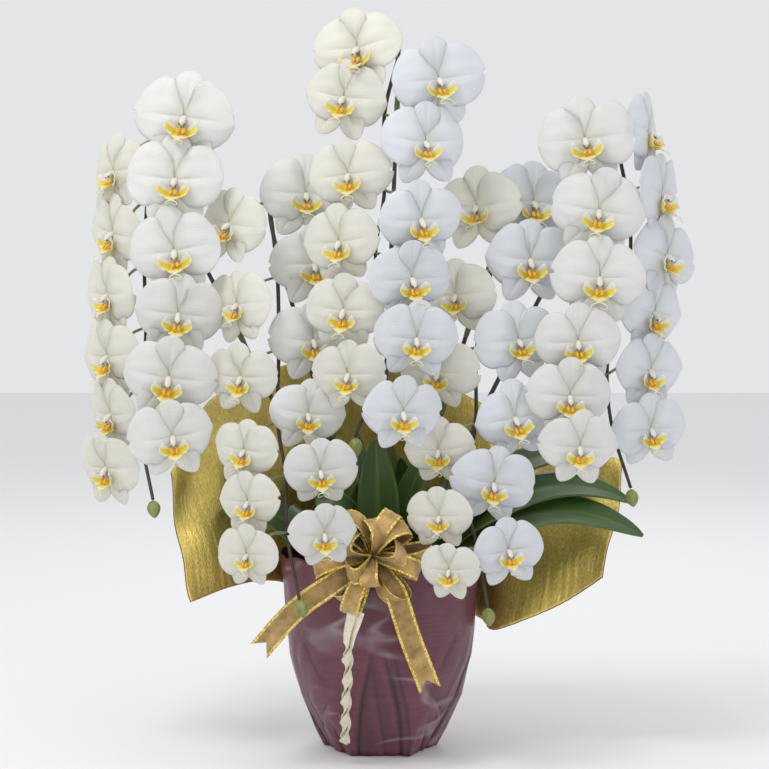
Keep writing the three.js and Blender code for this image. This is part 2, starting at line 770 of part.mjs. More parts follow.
const orchid = new THREE.Group();
orchid.name = 'potted_orchid';
const filmInset = -(GAP + FILM_WALL);
orchid.add(
  part('wrap_paper', wrapLayer(0, WRAP_WALL, 0, WRAP_HEIGHT, true), MAUVE),
  part('clear_film', wrapLayer(filmInset, FILM_WALL, FILM_BASE, WRAP_HEIGHT, false), FILM),
  part('ceramic_pot', ceramicPot(), GLAZE),
  part('moss_cover', mossCover(), MOSS),
  part('gold_collar', goldCollar(), GOLD),
  part('collar_backing', collarBacking(), MAUVE),
  part('bow_ribbon', bowRibbon(), ORGANZA),
  part('bow_pick', bowPick(), WIRE),
  part('twisted_cord', twistedCord(), CREAM),
);
for (let plant = 0; plant < PLANT_COUNT; plant += 1) {
  const number = plant + 1;
  orchid.add(
    part(`root_ball_${number}`, rootBall(plant), MOSS),
    part(`crown_${number}`, crown(plant), CROWN),
    part(`flower_spike_${number}`, flowerSpike(plant), PETAL),
    part(`support_wire_${number}`, supportWire(plant), WIRE),
    part(`stem_tie_${number}`, stemTie(plant), TIE),
  );
  LEAVES[plant].forEach((_, order) => {
    orchid.add(part(`leaf_${number}_${order + 1}`, leaf(plant, order), LEAF));
  });
}

export default orchid;
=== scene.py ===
"""Potted orchid: five moth orchid spikes in a wrapped pot. Metres, +Z up, the front faces -Y."""
import math

import bpy
import numpy as np
from mathutils import Matrix, Vector


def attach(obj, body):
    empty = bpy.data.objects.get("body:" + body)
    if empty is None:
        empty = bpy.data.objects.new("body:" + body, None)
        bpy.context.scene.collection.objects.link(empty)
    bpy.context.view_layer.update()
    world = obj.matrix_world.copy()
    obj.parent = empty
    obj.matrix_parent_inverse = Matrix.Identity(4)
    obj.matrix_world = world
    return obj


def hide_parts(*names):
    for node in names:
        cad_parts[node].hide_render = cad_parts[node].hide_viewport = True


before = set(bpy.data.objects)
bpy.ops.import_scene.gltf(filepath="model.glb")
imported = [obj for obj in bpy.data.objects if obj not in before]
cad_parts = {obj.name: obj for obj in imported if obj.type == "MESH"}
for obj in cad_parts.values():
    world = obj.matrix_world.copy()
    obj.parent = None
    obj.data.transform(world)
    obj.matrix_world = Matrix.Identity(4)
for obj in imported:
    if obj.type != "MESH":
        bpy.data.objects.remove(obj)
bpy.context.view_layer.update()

MM = 0.001
UP = np.array([0.0, 0.0, 1.0])
BACKWARDS = np.array([0.0, 1.0, 0.0])


# ---------- camera, light and floor ----------

CAMERA_PLACE = (0.005, -2.56, 0.59)
CAMERA_PITCH = 3.73  # degrees below level
CAMERA_LENS = 103.5


def make_camera():
    data = bpy.data.cameras.new("camera")
    data.lens = CAMERA_LENS
    data.sensor_width = 36
    camera = bpy.data.objects.new("camera", data)
    camera.location = CAMERA_PLACE
    camera.rotation_euler = (math.radians(90 - CAMERA_PITCH), 0, 0)
    bpy.context.collection.objects.link(camera)
    bpy.context.scene.camera = camera


def area_light(name, place, target, size, watts, colour=(1, 1, 1)):
    data = bpy.data.lights.new(name, "AREA")
    data.shape = "DISK"
    data.size = size
    data.energy = watts
    data.color = colour
    lamp = bpy.data.objects.new(name, data)
    lamp.location = place
    direction = Vector(target) - Vector(place)
    lamp.rotation_euler = direction.to_track_quat("-Z", "Y").to_euler()
    bpy.context.collection.objects.link(lamp)


def make_light():
    world = bpy.data.worlds.new("studio")
    world.use_nodes = True
    background = world.node_tree.nodes["Background"]
    background.inputs["Color"].default_value = (0.97, 0.98, 1.0, 1)
    background.inputs["Strength"].default_value = 0.8
    bpy.context.scene.world = world
    bpy.context.scene.view_settings.view_transform = "Standard"
    area_light("key", (-0.9, -1.0, 2.3), (0, 0, 0.4), 0.7, 19, (1.0, 0.985, 0.96))
    area_light("fill", (1.7, -1.9, 1.0), (0, 0, 0.4), 1.5, 4, (0.95, 0.97, 1.0))
    area_light("rim", (0.4, 1.9, 1.9), (0, 0, 0.5), 1.2, 8)


def make_floor():
    size = 6.0
    mesh = bpy.data.meshes.new("floor")
    corners = [(-size, -size, 0), (size, -size, 0), (size, size, 0), (-size, size, 0)]
    mesh.from_pydata(corners, [], [(0, 1, 2, 3)])
    floor = bpy.data.objects.new("floor", mesh)
    bpy.context.collection.objects.link(floor)
    floor.location.z = -0.0005
    mesh.materials.append(Finish("floor", 0.9, Base_Color=(0.86, 0.86, 0.86, 1)).material)


# ---------- materials ----------


class Finish:
    """A Principled material, with short ways to make the nodes that feed it."""

    def __init__(self, name, roughness, metallic=0.0, **settings):
        self.material = bpy.data.materials.new(name)
        self.material.use_nodes = True
        self.nodes, self.links = self.material.node_tree.nodes, self.material.node_tree.links
        self.inputs = self.nodes["Principled BSDF"].inputs
        self.inputs["Roughness"].default_value = roughness
        self.inputs["Metallic"].default_value = metallic
        for socket, value in settings.items():
            self.inputs[socket.replace("_", " ")].default_value = value

    def node(self, kind, vector=None, **settings):
        """A new node, with a vector to link to it and the values of its sockets."""
        node = self.nodes.new("ShaderNode" + kind)
        for socket, value in settings.items():
            node.inputs[socket.replace("_", " ")].default_value = value
        if vector is not None:
            self.links.new(vector, node.inputs["Vector"])
        return node

    def place(self, scale=(1, 1, 1), source="Object"):
        """Texture coordinates, scaled."""
        coordinates = self.node("TexCoord").outputs[source]
        return self.node("Mapping", coordinates, Scale=scale).outputs["Vector"]

    def noise(self, vector, scale, detail=4.0, rough=0.55):
        node = self.node("TexNoise", vector, Scale=scale, Detail=detail, Roughness=rough)
        return node.outputs["Fac"]

    def clouds(self, scale, dark, light, top=0.7):
        """Soft patches between two colours."""
        return self.ramp(self.noise(self.place(), scale), (0.3, dark), (top, light))

    def lines(self, stretch, scale, distortion):
        """Wavy lines along a surface's u."""
        node = self.node("TexWave", self.place(stretch, "UV"), Scale=scale, Distortion=distortion)
        node.bands_direction = "Y"
        return node.outputs["Fac"]

    def ramp(self, factor, *stops):
        """A factor turned into colour, by stops of place and colour."""
        ramp = self.node("ValToRGB")
        elements = ramp.color_ramp.elements
        while len(elements) < len(stops):
            elements.new(0.5)
        for element, (place, colour) in zip(elements, stops):
            element.position = place
            element.color = (*colour, 1)
        self.links.new(factor, ramp.inputs["Fac"])
        return ramp.outputs["Color"]

    def tint(self):
        """The colour painted on the mesh."""
        node = self.node("Attribute")
        node.attribute_name = "tint"
        return node.outputs["Color"]

    def paint(self, colour, *others):
        """The base colour: the product of these colours."""
        for other in others:
            mix = self.node("Mix")
            mix.data_type = "RGBA"
            mix.blend_type = "MULTIPLY"
            mix.inputs[0].default_value = 1.0
            self.links.new(colour, mix.inputs[6])
            self.links.new(other, mix.inputs[7])
            colour = mix.outputs[2]
        self.links.new(colour, self.inputs["Base Color"])

    def bump(self, height, strength, distance=0.001):
        node = self.node("Bump", Strength=strength, Distance=distance)
        self.links.new(height, node.inputs["Height"])
        self.links.new(node.outputs["Normal"], self.inputs["Normal"])


def petal_material():
    """White waxy petals: the painted tint, fine veins that fan out from the base, a soft glow."""
    finish = Finish(
        "petal", 0.55, Subsurface_Weight=0.35, Subsurface_Radius=(1.0, 0.95, 0.8),
        Subsurface_Scale=0.004, Sheen_Weight=0.12,
    )
    veins = finish.lines((0.6, 1.0, 1.0), 3.2, 1.6)
    shade = finish.ramp(veins, (0.0, (0.93, 0.93, 0.92)), (0.6, (1, 1, 1)))
    finish.paint(finish.tint(), shade, finish.clouds(60, (0.95, 0.95, 0.94), (1, 1, 1)))
    finish.bump(veins, 0.25, 0.0004)
    return finish.material


def leaf_material():
    """Dark waxy green with fine lengthwise veins and a paler midrib, painted in the tint."""
    finish = Finish("leaf", 0.34, Coat_Weight=0.22, Coat_Roughness=0.2)
    veins = finish.lines((0.3, 1, 1), 9.0, 1.2)
    shade = finish.ramp(veins, (0.0, (0.86, 0.9, 0.84)), (0.7, (1, 1, 1)))
    patch = finish.clouds(22, (0.75, 0.8, 0.7), (1.15, 1.1, 1), 0.75)
    finish.paint(finish.tint(), shade, patch)
    finish.bump(veins, 0.2, 0.0005)
    return finish.material


def stem_material():
    """Stems, stalks and buds: the painted tint, mottled."""
    finish = Finish("stem", 0.45)
    cloud = finish.noise(finish.place((1, 1, 0.3)), 180)
    patch = finish.ramp(cloud, (0.3, (0.7, 0.7, 0.65)), (0.7, (1.15, 1.15, 1.1)))
    finish.paint(finish.tint(), patch)
    finish.bump(cloud, 0.2, 0.0004)
    return finish.material


def wire_material():
    """Dark coated wire, mottled along its length."""
    finish = Finish("wire", 0.4)
    cloud = finish.noise(finish.place((1, 1, 0.25)), 160)
    finish.paint(finish.ramp(cloud, (0.3, (0.012, 0.014, 0.012)), (0.7, (0.035, 0.04, 0.03))))
    finish.bump(cloud, 0.3, 0.0005)
    return finish.material


def mauve_material():
    """Satin paper with fine crosswise grain. The tint carries the shade and highlights painted along
    its creases.
    """
    finish = Finish(
        "mauve_paper", 0.4, Specular_IOR_Level=0.35, Coat_Weight=0.08, Coat_Roughness=0.12
    )
    grain = finish.noise(finish.place((0.06, 0.06, 1.5)), 420, 2)
    fine = finish.ramp(grain, (0.25, (0.088, 0.012, 0.028)), (0.8, (0.180, 0.034, 0.064)))
    broad = finish.clouds(14, (0.82, 0.8, 0.86), (1.12, 1.1, 1.08))
    finish.paint(fine, broad, finish.tint())
    finish.bump(grain, 0.14, 0.0005)
    return finish.material


def film_material():
    """Clear film: a faint haze, with whitish streaks along crumple lines that are painted
    reflections.
    """
    finish = Finish("clear_film", 0.1, Base_Color=(0.86, 0.84, 0.9, 1), Specular_IOR_Level=0.5)
    level = finish.noise(finish.place((1, 1, 3.4)), 9, 1.0, 0.3)
    # Painted reflections: thin whitish streaks in the alpha, where the film would catch the light.
    reflection_streak = finish.ramp(
        level, (0.46, (0, 0, 0)), (0.5, (0.15, 0.15, 0.15)), (0.54, (0, 0, 0))
    )
    where = finish.node("MapRange", From_Min=0.5, From_Max=0.68)
    finish.links.new(finish.noise(finish.place(), 12, 2), where.inputs["Value"])
    haze = finish.node("Math")
    haze.operation = "MULTIPLY_ADD"
    haze.inputs[2].default_value = 0.02
    finish.links.new(reflection_streak, haze.inputs[0])
    finish.links.new(where.outputs["Result"], haze.inputs[1])
    finish.links.new(haze.outputs["Value"], finish.inputs["Alpha"])
    return finish.material


def gold_material():
    """Metallic crepe paper: fine upright crinkles along the sheet's own rows."""
    finish = Finish("gold_paper", 0.36, 0.72)
    crinkle = finish.noise(finish.place((1, 0.16, 1), "UV"), 260, 4, 0.6)
    fine = finish.ramp(crinkle, (0.3, (0.74, 0.51, 0.08)), (0.7, (1.0, 0.86, 0.31)))
    broad = finish.clouds(20, (0.8, 0.8, 0.8), (1.1, 1.08, 1.0))
    finish.paint(fine, broad, finish.tint())
    finish.bump(crinkle, 0.9, 0.0012)
    return finish.material


def organza_material():
    """Sheer tan ribbon cloth with a fine weave."""
    finish = Finish("organza", 0.45, Sheen_Weight=0.4, Alpha=0.86)
    weave = finish.node("TexChecker", finish.place((900, 60, 1), "UV"), Scale=1.0)
    base = finish.clouds(90, (0.32, 0.18, 0.04), (0.64, 0.43, 0.15))
    weft = finish.ramp(weave.outputs["Fac"], (0, (0.9, 0.88, 0.84)), (1, (1, 1, 1)))
    finish.paint(base, weft, finish.tint())
    return finish.material


def glitter_material():
    """The ribbon's edges: gold thread that glitters."""
    finish = Finish("gold_edge", 0.28, 0.3)
    grains = finish.node("TexVoronoi", finish.place(), Scale=480).outputs["Distance"]
    finish.paint(finish.ramp(grains, (0.3, (1.0, 0.86, 0.30)), (0.62, (0.62, 0.38, 0.02))))
    finish.bump(grains, 0.9, 0.0008)
    return finish.material


def plain_material(name, dark, light, scale, roughness, strength=0.4, distance=0.001):
    """A finish mottled between two colours, with a bump to match."""
    finish = Finish(name, roughness)
    cloud = finish.noise(finish.place(), scale, 6)
    finish.paint(finish.ramp(cloud, (0.3, dark), (0.72, light)))
    finish.bump(cloud, strength, distance)
    return finish.material


# ---------- mesh helpers ----------


def stacked(*parts):
    """Arrays spread over each other and joined along a new last axis."""
    return np.stack(np.broadcast_arrays(*parts), axis=-1)


def unit(vectors):
    return vectors / np.linalg.norm(vectors, axis=-1, keepdims=True)


def bell(away, width):
    """1 at its middle, falling off smoothly to both sides."""
    return np.exp(-((away / width) ** 2))


def full_turn(sides):
    """Evenly spaced angles that go once round."""
    return np.linspace(0, 2 * np.pi, sides, endpoint=False)


def swung(angle, first, second):
    """The direction that lies an angle on from the first one towards the second."""
    return np.cos(angle)[..., None] * first + np.sin(angle)[..., None] * second


class Pile:
    """Collects grids of points into one mesh."""

    def __init__(self):
        self.vertices, self.faces, self.uvs, self.tints, self.picks = [], [], [], [], []
        self.count = 0

    def add(self, points, uvs, tints, round_rows=False):
        """points is rows x columns x 3; round_rows joins each row's end to its start."""
        rows, columns = points.shape[:2]
        start = self.count
        self.vertices.append(points.reshape(-1, 3))
        self.uvs.append(np.broadcast_to(uvs, (rows, columns, 2)).reshape(-1, 2))
        self.tints.append(np.broadcast_to(tints, (rows, columns, 3)).reshape(-1, 3))
        self.count += rows * columns
        across = columns if round_rows else columns - 1
        for row in range(rows - 1):
            for i in range(across):
                a = start + row * columns + i
                b = start + row * columns + (i + 1) % columns
                self.add_face((a, b, b + columns, a + columns))

    def add_face(self, corners, pick=0):
        self.faces.append(tuple(corners))
        self.picks.append(pick)

    def add_sheet(self, points, uvs, tints, wall, column_picks=None):
        """A grid made into a thin closed shell, its second skin one wall away."""
        rows, columns = points.shape[:2]
        normal = np.cross(np.gradient(points, axis=1), np.gradient(points, axis=0))
        normal /= np.maximum(np.linalg.norm(normal, axis=-1, keepdims=True), 1e-12)
        start = self.count
        uvs = np.broadcast_to(uvs, (rows, columns, 2))
        tints = np.broadcast_to(tints, (rows, columns, 3))
        ring = np.concatenate([points, (points - normal * wall)[:, ::-1]], axis=1)
        self.add(
            ring,
            np.concatenate([uvs, uvs[:, ::-1]], axis=1),
            np.concatenate([tints, tints[:, ::-1]], axis=1),
            round_rows=True,
        )
        if column_picks is not None:
            row_picks = [*column_picks, column_picks[-1], *column_picks[::-1], column_picks[0]]
            self.picks[-len(row_picks) * (rows - 1) :] = row_picks * (rows - 1)
        for row, flip in ((0, False), (rows - 1, True)):
            first = start + row * 2 * columns
            for i in range(columns - 1):
                a, b = first + i, first + i + 1
                c, d = first + 2 * columns - 2 - i, first + 2 * columns - 1 - i
                corners = (a, b, c, d) if flip else (d, c, b, a)
                self.add_face(corners, 0 if column_picks is None else column_picks[i])

    def moved(self, place, turn, nod, roll, scale):
        """The points scaled, rolled, nodded and turned about the origin, then moved."""
        spin = Matrix.Rotation(turn, 3, "Z") @ Matrix.Rotation(nod, 3, "X")
        spin = np.array(spin @ Matrix.Rotation(roll, 3, "Y"))
        return np.concatenate(self.vertices) * scale @ spin.T + place

    def piece(self, name, materials, slot, vertices=None):
        """A smooth mesh object that rides on the root, with UVs and painted tints."""
        vertices = np.concatenate(self.vertices) if vertices is None else vertices
        mesh = bpy.data.meshes.new(name)
        mesh.from_pydata([tuple(v) for v in vertices], [], self.faces)
        for material in materials:
            mesh.materials.append(material)
        mesh.polygons.foreach_set("use_smooth", [True] * len(mesh.polygons))
        mesh.polygons.foreach_set("material_index", self.picks)
        corners = np.empty(len(mesh.loops), np.int32)
        mesh.loops.foreach_get("vertex_index", corners)
        layer = mesh.uv_layers.new(name="lay")
        uvs = np.concatenate(self.uvs).astype(np.float32)
        layer.data.foreach_set("uv", uvs[corners].ravel())
        colours = np.ones((len(mesh.vertices), 4), np.float32)
        colours[:, :3] = np.concatenate(self.tints)
        layer = mesh.color_attributes.new("tint", "FLOAT_COLOR", "POINT")
        layer.data.foreach_set("color", colours.ravel())
        mesh.update()
        piece = bpy.data.objects.new(name, mesh)
        bpy.context.collection.objects.link(piece)
        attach(piece, "root")
        return piece


def spline(points, count):
    """Evenly spaced points on a smooth curve through the given ones."""
    points = np.asarray(points, float)
    padded = np.vstack([2 * points[0] - points[1], points, 2 * points[-1] - points[-2]])
    dense = []
    for i in range(len(points) - 1):
        a, b, c, d = padded[i : i + 4]
        t = np.linspace(0, 1, 24, endpoint=False)[:, None]
        dense.append(
            0.5 * (2 * b + (c - a) * t + (2 * a - 5 * b + 4 * c - d) * t**2
                   + (3 * b - a - 3 * c + d) * t**3)
        )
    dense = np.vstack([*dense, points[-1:]])
    along = np.concatenate([[0], np.cumsum(np.linalg.norm(np.diff(dense, axis=0), axis=1))])
    at = np.linspace(0, along[-1], count)
    return np.stack([np.interp(at, along, dense[:, k]) for k in range(dense.shape[1])], axis=1)


def directions(line):
    return unit(np.gradient(line, axis=0))


def tube_rings(line, radii, sides):
    """Rings of points round a line, without twist."""
    along = directions(line)
    side = unit(np.cross(along[0], [0.31, 0.22, 0.93]))
    angles = full_turn(sides)
    rings = []
    for point, forward, radius in zip(line, along, radii):
        side = unit(side - forward * side.dot(forward))
        rings.append(point + radius * swung(angles, side, np.cross(forward, side)))
    return np.array(rings)


def add_tube(pile, line, radii, tint, sides, closed=True):
    """A tube, with rounded ends where it is closed."""
    line, radii = np.asarray(line, float), np.broadcast_to(radii, len(line)).astype(float)
    if closed:
        along = directions(line)
        steps, shares = np.array([[0.6], [0.95]]), np.array([0.75, 0.05])
        before = line[0] - along[0] * radii[0] * steps
        after = line[-1] + along[-1] * radii[-1] * steps
        line = np.vstack([before[::-1], line, after])
        radii = np.concatenate([radii[0] * shares[::-1], radii, radii[-1] * shares])
    uvs = stacked(np.linspace(0, 1, sides), np.linspace(0, 1, len(line))[:, None])
    pile.add(tube_rings(line, radii, sides), uvs, tint, round_rows=True)


def level_ring(radius, z, sides):
    """Points round the Z axis. radius and z are numbers or have a value for each point."""
    angles = full_turn(sides)
    x, y = radius * np.cos(angles), radius * np.sin(angles)
    return stacked(x, y, z)


# ---------- flower spikes: the same plan as the CAD, in millimetres ----------

CREAM = (0.76, 0.745, 0.66)
WHITE = (0.75, 0.75, 0.735)
COOL = (0.72, 0.74, 0.80)
LIP_DROP = 13  # from a bloom's middle to its lip


def bloom_rank(lip_xs, lip_zs, depths, widths, turns, tint):
    """A rank's blooms from the top down, in millimetres and radians. Depth, width and turn in
    degrees are given for its two ends."""
    blooms = []
    for i, (x, z) in enumerate(zip(lip_xs, lip_zs)):
        share = i / (len(lip_xs) - 1)
        blooms.append({
            "place": np.array([x, np.interp(share, (0, 1), depths), z + LIP_DROP]),
            "width": np.interp(share, (0, 1), widths),
            "turn": math.radians(np.interp(share, (0, 1), turns)),
            "nod": math.radians(np.interp(share, (0, 1), (-2, 9))),
            "tint": tint,
        })
    return blooms


# Each spike's two ranks, and the place of its end bud in millimetres.
SPIKES = [
    {
        "left": bloom_rank(
            [-305, -305, -310, -310, -305, -310], [655, 585, 515, 445, 380, 320],
            (-20, -70), (100, 90), (-50, -42), CREAM,
        ),
        "right": bloom_rank(
            [-220, -230, -230, -225, -235, -230], [715, 645, 565, 495, 425, 360],
            (-60, -120), (112, 96), (-6, 10), WHITE,
        ),
        "bud": (-255, -92, 300),
    },
    {
        "left": bloom_rank(
            [-170, -160, -155, -150, -145, -145], [595, 505, 425, 345, 290, 235],
            (-64, -166), (92, 72), (-30, -24), CREAM,
        ),
        "right": bloom_rank(
            [-85, -75, -75, -80, -65, -60], [630, 550, 465, 385, 325, 260],
            (-12, -184), (108, 76), (6, 14), WHITE,
        ),
        "bud": (-88, -172, 200),
    },
    {
        "left": bloom_rank(
            [-25, -40, -35, -45, -40, -35], [790, 735, 650, 575, 500, 430],
            (-84, -132), (102, 84), (-20, -12), CREAM,
        ),
        "right": bloom_rank(
            [65, 50, 45, 35, 40, 25], [755, 685, 600, 535, 470, 390],
            (-96, -160), (104, 88), (22, 8), COOL,
        ),
        "bud": (-28, -112, 372),
    },
    {
        "left": bloom_rank(
            [110, 85, 65, 65, 65, 75], [615, 515, 430, 345, 275, 220],
            (-34, -182), (100, 68), (-24, -18), CREAM,
        ),
        "right": bloom_rank(
            [175, 170, 155, 150, 125, 140], [620, 555, 465, 380, 310, 240],
            (-24, -168), (106, 86), (14, 14), COOL,
        ),
        "bud": (118, -150, 188),
    },
    {
        "left": bloom_rank(
            [230, 245, 245, 220, 210, 220], [690, 610, 535, 465, 405, 350],
            (-70, -136), (110, 86), (-8, 4), WHITE,
        ),
        "right": bloom_rank(
            [305, 320, 325, 310, 305, 305], [700, 630, 560, 495, 430, 365],
            (-24, -78), (104, 90), (60, 22), COOL,
        ),
        "bud": (282, -86, 312),
    },
]
STEM_RADIUS = 3.0
STEM_TAPER = 1.1
STEM_ROWS = 150
STEM_NODES = range(14, 78, 15)  # the joints' rows
STEM_BEHIND = 38
STEM_STAND = 60
ARCH_TOP = (0, 34, 16)
ARCH_BACK = (0, 76, -36)
PLANT_RING = 58
PLANT_ANGLES = [198, 126, 270, 54, 342]
MOSS_TOP = 193
CROWN_RADIUS = 9
CROWN_HEIGHT = 175
BUD_LENGTH = 21
WIRE_RADIUS = 1.6
WIRE_OFFSET = 5.3
WIRE_END_SHARE = 0.47


def crown_place(index):
    angle = math.radians(PLANT_ANGLES[index])
    return np.array([PLANT_RING * math.cos(angle), PLANT_RING * math.sin(angle), CROWN_HEIGHT])


def stem_foot(index):
    x, y = crown_place(index)[:2]
    return np.array([x, y + CROWN_RADIUS + STEM_RADIUS + 2, MOSS_TOP + 6])


def stem_points(index):
    spike = SPIKES[index]
    behind = [
        (a["place"] + b["place"]) / 2 + (0, STEM_BEHIND, 8)
        for a, b in zip(spike["left"], spike["right"])
    ]
    foot = stem_foot(index)
    top, turning = behind[0] + ARCH_TOP, behind[0] + ARCH_BACK
    low = foot + (0, 4, STEM_STAND)
    rise = (low + turning) / 2 + (0, 14, 0)
    return [foot, low, rise, turning, top, *behind, np.array(spike["bud"], float)]


# ---------- one bloom ----------


def tepal(length, half_up, half_down, rows, columns, swell, blunt):
    """A petal or sepal along +X from its base: its points, with u along and v across it."""
    u = 0.004 + 0.991 * (1 - np.cos(np.pi * np.linspace(0, 1, rows))) / 2
    v = np.linspace(-1, 1, columns)
    v = np.sign(v) * np.abs(v) ** 1.3
    u, v = np.meshgrid(u, v, indexing="ij")
    peak = swell / (swell + blunt)
    width = u**swell * (1 - u) ** blunt / (peak**swell * (1 - peak) ** blunt)
    half = np.where(v > 0, half_up, half_down) * width
    return stacked(u * length, 0, v * half), u, v


def turned(points, angle, tilt=0.0, lift=0.0):
    """Points turned from +X up by an angle in the front view, after a tilt towards the front."""
    tip = np.array(Matrix.Rotation(-tilt, 3, "Z"))
    spin = np.array(Matrix.Rotation(-angle, 3, "Y"))
    return points @ (spin @ tip).T + (0, lift, 0)


# Shares of the bloom's width.
PETAL_WALL = 0.007
LIP_WALL = 0.006


def add_petal(pile, side, tint, rng):
    """A broad side petal with a groove along its midrib and a waved edge, its base and midrib crease
    darkened with painted shade.
    """
    swell = 0.4 + rng.uniform(-0.05, 0.07)
    blunt = 0.56 + rng.uniform(-0.08, 0.08)
    half_up, half_down = 0.37 + rng.uniform(-0.02, 0.025), 0.305 + rng.uniform(-0.02, 0.02)
    points, u, v = tepal(0.487, half_up, half_down, 19, 23, swell, blunt)
    points[..., 2] *= 1 + 0.035 * np.sin(7 * u + rng.uniform(0, 6.28)) * np.abs(v)
    points[..., 0] += 0.05 * u * np.abs(v) ** 2 * rng.uniform(-0.4, 1)
    bulge = 0.045 * np.sin(np.pi * u**0.8) * (1 - v**2)
    groove = 0.026 * np.exp(-np.abs(v) / 0.11) * bell(u - 0.3, 0.33)
    ribs = 0.0035 * np.cos(v * 13) * np.sin(np.pi * u) * (np.abs(v) > 0.2)
    phase = rng.uniform(0, 6.28)
    wave = 0.014 * np.abs(v) ** 3 * np.sin(2.6 * np.pi * u + phase)
    curl = rng.uniform(0.0, 0.07) * u**2.4
    droop = rng.uniform(-0.02, 0.07) * u * np.where(v < 0, v**2, 0)
    cup = rng.uniform(-0.01, 0.03) * np.where(v > 0, v**2, 0) * u
    points[..., 1] = -bulge + groove + ribs + wave + curl + droop + cup - 0.004
    points[..., 2] += 0.025 * u**2 * rng.uniform(-1, 1)
    points[..., 0] += 0.012
    if side < 0:
        points[..., 0] *= -1
    lean = rng.uniform(-0.07, 0.07) + 0.05
    points = turned(points, side * lean, -side * rng.uniform(-0.05, 0.16))
    # Painted shade: the base is tinted olive-grey for the shade in the flower's hollow, and the
    # midrib crease is made a little darker.
    base = np.exp(-u / 0.16)[..., None]
    crease_shade = (np.exp(-np.abs(v) / 0.06) * bell(u - 0.25, 0.3))[..., None]
    olive = np.array([0.80, 0.82, 0.66])
    shade = tint * (1 - (1 - olive) * 0.75 * base) * (1 - 0.1 * crease_shade)
    if side < 0:
        points, u, v, shade = points[::-1], u[::-1], v[::-1], shade[::-1]
    pile.add_sheet(points, stacked(u, v * 2.2), shade, PETAL_WALL)


def add_sepal(pile, angle, length, half, behind, tint, rng, blunt=0.5, swell=0.7):
    """One of the three narrower sepals behind the petals, greenish at its base."""
    points, u, v = tepal(length, half, half, 13, 13, swell, blunt)
    keel = 0.014 * np.exp(-np.abs(v) / 0.12) * np.sin(np.pi * u)
    cup = 0.035 * (1 - v**2) * np.sin(np.pi * u)
    curl = rng.uniform(-0.03, 0.05) * u**2
    points[..., 1] = -cup + keel + curl
    points[..., 0] += 0.02
    points = turned(points, math.radians(angle) + rng.uniform(-0.1, 0.1), 0.0, behind)
    green = np.exp(-u / 0.28)[..., None]
    shade = tint * (1 - green * (1 - np.array([0.70, 0.74, 0.54])))
    pile.add_sheet(points, stacked(u, v * 1.6), shade, PETAL_WALL)


YELLOW = np.array([0.93, 0.72, 0.012])
ORANGE = np.array([0.90, 0.30, 0.008])
LIP_WHITE = np.array([0.88, 0.87, 0.80])
LIP_SIZE = 1.16
SHADE_OLIVE = np.array([0.20, 0.17, 0.03])


def lip_colour(gold, heat):
    """White to yellow to orange, for shares of each."""
    gold, heat = np.clip(gold, 0, 1)[..., None], np.clip(heat, 0, 1)[..., None]
    warm = YELLOW * (1 - heat) + ORANGE * heat
    return LIP_WHITE * (1 - gold) + warm * gold


def add_lip(pile, rng):
    """A bowl of two winged side lobes, yellow inside with a white rim, the narrow front lobe
    with two curled tendrils, the orange callus, the rounded column above, and two dark olive
    lumps of painted shade beside the column."""
    rise = np.linspace(0, 1, 27)[:, None]
    s = np.linspace(0.06, 1, 9)[None, :]
    angle = np.radians(-222 + 264 * rise)
    wing = np.abs(np.cos(angle)) ** 1.5
    wide, tall = 0.132 + rng.uniform(-0.006, 0.012), 0.112
    x = wide * s**0.8 * np.cos(angle) * (1 + 0.10 * wing * s)
    z = -0.145 + 0.045 * s + tall * s**0.9 * np.sin(angle) * np.where(np.sin(angle) > 0, 1.05, 0.72)
    y = -0.02 - 0.095 * s**1.7 * (0.4 + 0.6 * wing) + 0.012 * np.sin(9 * angle) * s**3
    points = stacked(x, y, z)
    low = np.sin(angle) < 0.25
    gold = np.where(low, 3.6 - 3.4 * s + 0.35 * np.cos(angle * 6), 0.5 - 0.9 * s)
    pile.add_sheet(points, (0, 0), lip_colour(gold, 0.7 - 3.2 * s), LIP_WALL)
    u = np.linspace(0, 1, 13)[:, None]
    v = np.linspace(-1, 1, 9)[None, :]
    width = 0.04 + 0.04 * bell(u - 0.5, 0.2) - 0.03 * u**3
    x = v * width
    y = -0.075 - 0.115 * u - 0.02 * np.sin(np.pi * u) + 0.035 * v**2
    z = -0.165 - 0.1 * u + 0.045 * u**2 + 0.022 * v**2
    points = stacked(x, y, z)
    gold = 1.3 - 1.5 * u - 0.3 * (1 - np.abs(v))
    pile.add_sheet(points, (0, 0), lip_colour(gold, 0.35 - u), LIP_WALL)
    for side in (-1, 1):
        turn = np.linspace(0, 1, 12)
        curl = 0.03 + rng.uniform(-0.008, 0.012)
        line = stacked(
            side * (0.01 + curl * 1.6 * np.sin(turn * 3.2)),
            -0.185 - curl * 0.7 * turn,
            -0.215 - curl * (1 - np.cos(turn * 4.4)) * 0.7,
        )
        add_tube(pile, line, 0.0055 * (1 - 0.55 * turn), YELLOW * 0.35 + LIP_WHITE * 0.65, 6)
        turn = np.linspace(0, 1, 7)
        line = stacked(side * (0.018 + 0.006 * turn), -0.05 - 0.06 * turn, -0.10 - 0.045 * turn)
        lump = 0.019 * np.sin(np.pi * (0.2 + 0.68 * turn))
        add_tube(pile, line, lump, ORANGE * 0.65 + YELLOW * 0.35, 8)
        # Painted shade: a dark olive lump on each side of the column, where the lip's hollow lies in
        # shade.
        column_shade = np.array([[side * 0.02, -0.083, -0.063], [side * 0.02, -0.09, -0.068]])
        add_tube(pile, column_shade, 0.011, SHADE_OLIVE, 8)
    turn = np.linspace(0, 1, 10)
    line = stacked(0, 0.01 - 0.095 * turn, -0.004 - 0.012 * turn - 0.04 * turn**2)
    widths = 0.022 + 0.006 * np.sin(turn * 3.0) + 0.003 * (turn > 0.75)
    add_tube(pile, line, widths, np.array([0.78, 0.74, 0.68]), 12)


